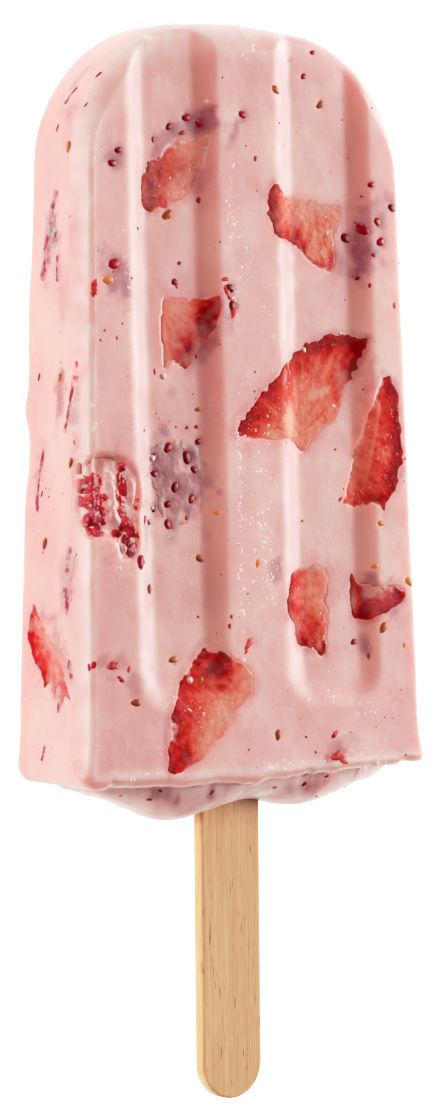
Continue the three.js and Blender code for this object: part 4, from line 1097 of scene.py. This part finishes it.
class Finish:
    # one node material, with short ways to add and join its nodes
    def __init__(self, name):
        self.material = bpy.data.materials.new(name)
        self.material.use_nodes = True
        self.tree = self.material.node_tree
        self.surface = self.tree.nodes["Principled BSDF"]
        self.coords = self.add("ShaderNodeTexCoord").outputs["Object"]

    def add(self, kind, inputs=None, **settings):
        node = self.tree.nodes.new(kind)
        for key, value in settings.items():
            setattr(node, key, value)
        for key, value in (inputs or {}).items():
            self.put(node.inputs[key], value)
        return node

    def put(self, socket, value):
        if isinstance(value, bpy.types.NodeSocket):
            self.tree.links.new(value, socket)
        else:
            socket.default_value = value

    def noise(self, scale, detail=2.0, vector=None, roughness=0.5):
        return self.add("ShaderNodeTexNoise", {"Vector": vector or self.coords, "Scale": scale, "Detail": detail,
                                               "Roughness": roughness}).outputs[0]

    def field(self, name):
        return self.add("ShaderNodeAttribute", attribute_name=name).outputs["Fac"]

    def sum(self, operation, a, b=0.0, clamp=False):
        return self.add("ShaderNodeMath", {0: a, 1: b}, operation=operation, use_clamp=clamp).outputs[0]

    def remap(self, value, low, high, newLow=0.0, newHigh=1.0):
        return self.add("ShaderNodeMapRange", {"Value": value, "From Min": low, "From Max": high, "To Min": newLow,
                                               "To Max": newHigh}, interpolation_type="SMOOTHSTEP").outputs[0]

    def mix(self, factor, a, b, blend="MIX"):
        return self.add("ShaderNodeMix", {0: factor, 6: a, 7: b}, data_type="RGBA", blend_type=blend).outputs[2]

    def ramp(self, factor, stops):
        node = self.add("ShaderNodeValToRGB", {"Fac": factor})
        ramp = node.color_ramp
        while len(ramp.elements) < len(stops):
            ramp.elements.new(0.5)
        for element, (at, colour) in zip(ramp.elements, stops):
            element.position = at
            element.color = colour
        return node.outputs["Color"]

    def stretched(self, x, y, z):
        return self.add("ShaderNodeMapping", {"Vector": self.coords, "Scale": (x, y, z)}).outputs[0]

    def bump(self, height, strength, distance, under=None):
        inputs = {"Height": height, "Strength": strength, "Distance": distance}
        if under is not None:
            inputs["Normal"] = under
        return self.add("ShaderNodeBump", inputs).outputs[0]

    def surfaceSet(self, **values):
        names = {"colour": "Base Color", "roughness": "Roughness", "normal": "Normal", "scatter": "Subsurface Weight",
                 "scatterRadius": "Subsurface Radius", "scatterScale": "Subsurface Scale", "coat": "Coat Weight",
                 "coatRoughness": "Coat Roughness", "specular": "Specular IOR Level", "ior": "IOR",
                 "sheen": "Sheen Weight", "sheenRoughness": "Sheen Roughness"}
        for key, value in values.items():
            self.put(self.surface.inputs[names[key]], value)
        return self.material


def yoghurtFinish(name, scatterScale):
    f = Finish(name)
    slow = f.remap(f.noise(70, 2), 0.35, 0.65)
    base = f.mix(slow, tone(244, 168, 154), tone(236, 148, 140))
    marbled = f.remap(f.noise(210, 3, f.stretched(1, 0.5, 1)), 0.5, 0.72)
    base = f.mix(f.sum("MULTIPLY", marbled, 0.4), base, tone(225, 147, 144))
    # pale: frost whitening together with painted light and a painted highlight on the edges, tip, rim and swell
    base = f.mix(f.sum("MULTIPLY", f.field("pale"), 0.8), base, tone(255, 218, 210))
    rose = f.sum("MULTIPLY", f.field("rose"), f.remap(f.noise(500, 3), 0.25, 0.75, 0.45, 1.0))
    base = f.mix(rose, base, tone(212, 92, 90))
    mauve = f.sum("MULTIPLY", f.field("mauve"), f.remap(f.noise(520, 3), 0.3, 0.7, 0.65, 1.0))
    base = f.mix(mauve, base, tone(148, 16, 50))
    lilac = f.sum("MULTIPLY", f.field("lilac"), f.remap(f.noise(260, 3), 0.35, 0.65, 0.35, 0.8))
    base = f.mix(lilac, base, tone(180, 88, 114))
    base = f.mix(f.sum("MULTIPLY", f.field("sunk"), 0.85), base, tone(140, 16, 40))
    grainMask = f.sum("MULTIPLY", f.remap(f.noise(2600, 2), 0.6, 0.72), 0.5)
    base = f.mix(f.sum("MULTIPLY", grainMask, f.remap(f.noise(160, 2), 0.45, 0.65)), base, tone(244, 210, 200))
    rough = f.remap(f.noise(380, 3), 0.3, 0.7, 0.40, 0.58)
    ripples = f.bump(f.noise(700, 2), 0.25, 0.00014)
    pits = f.bump(f.noise(3200, 2), 0.25, 0.00005, ripples)
    return f.surfaceSet(colour=base, roughness=rough, normal=pits, scatter=1.0, scatterRadius=(1.0, 0.58, 0.46),
                        scatterScale=scatterScale, coat=0.12, coatRoughness=0.35, specular=0.6,
                        sheen=0.3, sheenRoughness=0.5)


def fruitFinish(name, deep, red, coral, salmon, pale):
    f = Finish(name)
    ray = f.add("ShaderNodeCombineXYZ", {"X": f.sum("MULTIPLY", f.field("rayX"), 9.0),
                                         "Y": f.sum("MULTIPLY", f.field("rayY"), 9.0),
                                         "Z": f.sum("MULTIPLY", f.field("far"), 0.22)}).outputs[0]
    rays = f.noise(1.0, 1.0, ray)
    streak = f.field("streak")
    wander = f.sum("MULTIPLY", f.sum("SUBTRACT", rays, 0.5), f.sum("MULTIPLY", streak, 0.8))
    grain = f.sum("MULTIPLY", f.sum("SUBTRACT", f.noise(1100, 4), 0.5), 0.5)
    level = f.sum("ADD", f.sum("ADD", f.field("ripe"), wander), grain)
    colour = f.ramp(level, [(0.0, deep), (0.14, red), (0.34, coral), (0.60, salmon), (0.95, pale)])
    veins = f.sum("MULTIPLY", f.remap(rays, 0.54, 0.70), f.sum("MULTIPLY", streak, 0.35))
    colour = f.mix(f.sum("MULTIPLY", veins, f.remap(f.field("ripe"), 0.08, 0.4)), colour, tone(250, 150, 120))
    mauve = f.sum("MULTIPLY", f.field("mauve"), f.remap(f.noise(620, 4), 0.3, 0.7, 0.4, 0.9))
    colour = f.mix(mauve, colour, tone(148, 44, 70))
    filmed = f.sum("MULTIPLY", f.field("film"), f.remap(f.noise(800, 4), 0.35, 0.65, 0.7, 1.15), True)
    colour = f.mix(filmed, colour, tone(238, 156, 146))
    # white frost specks on the cut face, partly painted glints of the lamps on the wet flesh
    frostAndGlint = f.sum("MULTIPLY", f.remap(f.noise(3000, 2), 0.62, 0.70), f.remap(f.field("ripe"), 0.0, 0.4, 0.3, 0.65))
    colour = f.mix(f.sum("MULTIPLY", frostAndGlint, f.remap(f.noise(300, 2), 0.48, 0.64)), colour, tone(250, 208, 194))
    rough = f.remap(f.noise(600, 3), 0.3, 0.7, 0.22, 0.46)
    cells = f.bump(f.noise(1500, 3), 0.4, 0.00014)
    return f.surfaceSet(colour=colour, roughness=rough, normal=cells, scatter=0.6, scatterRadius=(1.0, 0.3, 0.2),
                        scatterScale=f.remap(filmed, 0.0, 1.0, 0.0007, 0.0020), specular=0.015)


def pulpFinish():
    # torn wet flesh without a cut face: dark and bright red by noise, whitish frost on top with painted glints
    f = Finish("strawberryPulp")
    colour = f.ramp(f.noise(420, 4), [(0.32, tone(130, 4, 14)), (0.46, tone(184, 16, 24)), (0.58, tone(204, 46, 44)),
                                      (0.72, tone(214, 104, 96))])
    # whitish frost specks, partly painted glints
    frostAndGlint = f.sum("MULTIPLY", f.remap(f.noise(3400, 2), 0.60, 0.74), 0.5)
    colour = f.mix(f.sum("MULTIPLY", frostAndGlint, f.remap(f.noise(500, 2), 0.45, 0.6)), colour, tone(246, 206, 196))
    return f.surfaceSet(colour=colour, roughness=0.3, normal=f.bump(f.noise(1500, 3), 0.4, 0.00014), scatter=0.5,
                        scatterRadius=(1.0, 0.3, 0.2), scatterScale=0.0007, coat=0.06, coatRoughness=0.12, specular=0.15)


def chunkFinish():
    # torn wet flesh and yoghurt: red by noise, nearly black red in the creases and holes as dark flesh with painted
    # shade, mauve and tan where filmed
    f = Finish("tornFruit")
    milky = f.mix(f.sum("MULTIPLY", f.field("pink"), 0.8), tone(242, 180, 174), tone(218, 104, 104))
    milky = f.mix(f.field("melt"), milky, tone(241, 163, 152))
    red = f.ramp(f.noise(650, 3), [(0.34, tone(134, 4, 18)), (0.48, tone(176, 14, 32)), (0.62, tone(198, 44, 54)),
                                   (0.76, tone(220, 110, 110))])
    colour = f.mix(f.field("red"), milky, red)
    colour = f.mix(f.sum("MULTIPLY", f.field("mauve"), 0.85), colour, tone(178, 92, 112))
    colour = f.mix(f.sum("MULTIPLY", f.field("tan"), 0.8), colour, tone(206, 122, 96))
    # deep: dark flesh together with painted shade in the creases and holes
    colour = f.mix(f.sum("MULTIPLY", f.field("deep"), 0.85), colour, tone(120, 2, 14))
    wet = f.bump(f.noise(1100, 3), 0.35, 0.00016)
    return f.surfaceSet(colour=colour, roughness=0.3, normal=wet, scatter=0.6, scatterRadius=(1.0, 0.35, 0.25),
                        scatterScale=0.0009, coat=0.10, coatRoughness=0.14, specular=0.2)


def strandFinish():
    # a thread of fruit just under the skin: crimson along its middle, melting into the yoghurt at its edges
    f = Finish("sunkStrand")
    colour = f.mix(f.remap(f.noise(700, 3), 0.35, 0.65), tone(184, 52, 78), tone(150, 18, 44))
    edge = f.sum("ADD", f.field("edge"), f.remap(f.noise(900, 4), 0.3, 0.7, -0.5, 0.6))
    colour = f.mix(f.remap(edge, -0.1, 0.75), colour, tone(234, 148, 144))
    return f.surfaceSet(colour=colour, roughness=0.5, normal=f.bump(f.noise(1500, 3), 0.3, 0.0001), scatter=1.0,
                        scatterRadius=(1.0, 0.5, 0.4), scatterScale=0.0012, specular=0.1)


def seedFinish(name, light, dark, rough):
    f = Finish(name)
    own = f.sum("ADD", f.sum("MULTIPLY", f.noise(95, 1), 0.7), f.sum("MULTIPLY", f.noise(1300, 3), 0.3))
    colour = f.mix(f.remap(own, 0.40, 0.60), light, dark)  # slow noise gives each seed its own shade
    return f.surfaceSet(colour=colour, roughness=rough, normal=f.bump(f.noise(4200, 2), 0.3, 0.00004), coat=0.05,
                        coatRoughness=0.12, specular=0.2)


# near-white and glossy, so the crystals read as painted glints
def glintCrystalFinish():
    f = Finish("glintCrystal")
    colour = f.mix(f.noise(2000, 1), tone(255, 250, 244), tone(255, 240, 230))
    return f.surfaceSet(colour=colour, roughness=0.12, coat=0.6, coatRoughness=0.06)


def beadFinish():
    # wet juicy ice: pale rose, glossy, a little clear
    f = Finish("iceBead")
    colour = f.mix(f.noise(700, 1), tone(252, 214, 204), tone(240, 168, 158))
    return f.surfaceSet(colour=colour, roughness=0.14, coat=0.35, coatRoughness=0.06, specular=0.5)


def woodFinish():
    f = Finish("planedBirch")
    bands = f.remap(f.noise(1.0, 4, f.stretched(900, 24, 300)), 0.3, 0.7)
    colour = f.mix(bands, tone(248, 190, 138), tone(234, 167, 112))
    wide = f.remap(f.noise(1.0, 2, f.stretched(260, 7, 60)), 0.38, 0.66)
    colour = f.mix(f.sum("MULTIPLY", wide, 0.5), colour, tone(240, 176, 122))
    fibres = f.remap(f.noise(1.0, 3, f.stretched(4600, 120, 2200)), 0.38, 0.66)
    colour = f.mix(f.sum("MULTIPLY", fibres, 0.5), colour, tone(214, 146, 94))
    pores = f.remap(f.noise(1.0, 2, f.stretched(5600, 420, 2600)), 0.60, 0.70)
    colour = f.mix(f.sum("MULTIPLY", pores, 0.45), colour, tone(172, 112, 66))
    dashes = f.remap(f.noise(1.0, 1, f.stretched(3400, 260, 1500)), 0.70, 0.76)
    colour = f.mix(f.sum("MULTIPLY", dashes, 0.8), colour, tone(118, 70, 38))
    relief = f.bump(f.noise(1.0, 3, f.stretched(4200, 110, 1800)), 0.5, 0.00010)
    return f.surfaceSet(colour=colour, roughness=0.62, normal=relief, specular=0.35)


def dress(piece, material, slot, *replaced, shades=False):
    # what is frozen into the yoghurt lets light through, so it throws no shadow into it unless told to
    piece.visible_shadow = shades
    piece.data.materials.clear()
    piece.data.materials.append(material)
    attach(piece, "root")
    if replaced:
        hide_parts(*replaced)


yoghurt = yoghurtFinish("frozenYoghurt", 0.003)
flesh = fruitFinish("strawberryFlesh", tone(150, 3, 9), tone(192, 13, 14), tone(218, 46, 34), tone(242, 106, 84),
                    tone(252, 156, 132))
dress(iceBlock, yoghurt, "yoghurt_ice", "ice_block", shades=True)
for name, piece in fruitPieces.items():
    dress(piece, flesh, "strawberry_flesh", name)
dress(skinPatch, yoghurtFinish("thinYoghurt", 0.0010), "strawberry_skin", "berry_skin_patch")
dress(chunkFlesh, chunkFinish(), "strawberry_flesh", "berry_chunk_left")
dress(wallStrands, strandFinish(), "strawberry_flesh")
dress(lollyStick, woodFinish(), "wood", "stick", shades=True)
dress(goldSeeds, seedFinish("goldSeed", tone(222, 124, 58), tone(150, 58, 30), 0.35), "seed")
darkRed = seedFinish("darkRedPulp", tone(168, 12, 28), tone(112, 2, 16), 0.22)
redPulp = seedFinish("redPulp", tone(180, 24, 34), tone(140, 12, 40), 0.3)
dress(darkSeeds, darkRed, "strawberry_skin")
dress(redBits, redPulp, "strawberry_flesh")
dress(fruitShreds, pulpFinish(), "strawberry_flesh")
dress(speckPiece, seedFinish("speck", tone(160, 70, 72), tone(106, 48, 66), 0.5), "strawberry_flesh")
dress(crystalGlints, glintCrystalFinish(), "yoghurt_ice")
dress(iceBeads, beadFinish(), "yoghurt_ice")
print("finishes set")

# ---------- floor and light ----------
# each lamp: place in metres, size, power
studio = {"floor": 3.0, "floorGlow": 1.25, "floorSeen": 2.4,
          "lamps": {"lowRight": ((0.80, 0.12, 0.15), 0.6, 10.9), "highRight": ((0.63, 0.12, 0.53), 0.6, 6.3),
                    "left": ((-0.85, 0.05, 0.02), 0.4, 12.3), "tipEnd": ((0.10, 0.85, 0.25), 0.4, 2.8)}}


def areaLight(name, place, size, power, colour=(1, 1, 1)):
    data = bpy.data.lights.new(name, "AREA")
    data.shape = "DISK"
    data.size = size
    data.energy = power
    data.color = colour
    lamp = bpy.data.objects.new(name, data)
    lamp.location = place
    aim = np.array([0, 0.03, 0.01]) - np.array(place)
    back = -aim / np.linalg.norm(aim)
    right = np.cross([0, 1, 0], back)
    right /= np.linalg.norm(right)
    matrix = np.eye(4)
    matrix[:3, 0], matrix[:3, 1], matrix[:3, 2], matrix[:3, 3] = right, np.cross(back, right), back, place
    lamp.matrix_world = Matrix(matrix.tolist())
    scene.collection.objects.link(lamp)


for lampName, (place, size, power) in studio["lamps"].items():
    areaLight(lampName, place, size, power)
world = bpy.data.worlds.new("studio")
world.use_nodes = True
world.node_tree.nodes["Background"].inputs["Color"].default_value = (1, 1, 1, 1)
# the room is white where the camera looks past the floor, and gives no light of its own
skyRay = world.node_tree.nodes.new("ShaderNodeLightPath").outputs["Is Camera Ray"]
skyGlow = world.node_tree.nodes.new("ShaderNodeMath")
skyGlow.operation = "MULTIPLY"
world.node_tree.links.new(skyRay, skyGlow.inputs[0])
skyGlow.inputs[1].default_value = studio["floorSeen"]
world.node_tree.links.new(skyGlow.outputs[0], world.node_tree.nodes["Background"].inputs["Strength"])
scene.world = world

floorMesh = bpy.data.meshes.new("floor")
w = studio["floor"] / 2
floorMesh.from_pydata([(-w, -w, -0.0004), (w, -w, -0.0004), (w, w, -0.0004), (-w, w, -0.0004)], [], [(0, 1, 2, 3)])
floor = bpy.data.objects.new("floor", floorMesh)
scene.collection.objects.link(floor)
floorPaint = bpy.data.materials.new("floorPaint")
floorPaint.use_nodes = True
floorPaint.node_tree.nodes["Principled BSDF"].inputs["Base Color"].default_value = tone(240, 238, 236)
floorPaint.node_tree.nodes["Principled BSDF"].inputs["Roughness"].default_value = 0.8
floorPaint.node_tree.nodes["Principled BSDF"].inputs["Emission Color"].default_value = (1, 1, 1, 1)
# the camera sees the floor as plain white, brighter than the glow it gives the lolly
seen = floorPaint.node_tree.nodes.new("ShaderNodeLightPath").outputs["Is Camera Ray"]
glow = floorPaint.node_tree.nodes.new("ShaderNodeMath")
glow.operation = "MULTIPLY_ADD"
floorPaint.node_tree.links.new(seen, glow.inputs[0])
glow.inputs[1].default_value = studio["floorSeen"] - studio["floorGlow"]
glow.inputs[2].default_value = studio["floorGlow"]
floorPaint.node_tree.links.new(glow.outputs[0], floorPaint.node_tree.nodes["Principled BSDF"].inputs["Emission Strength"])
floorMesh.materials.append(floorPaint)
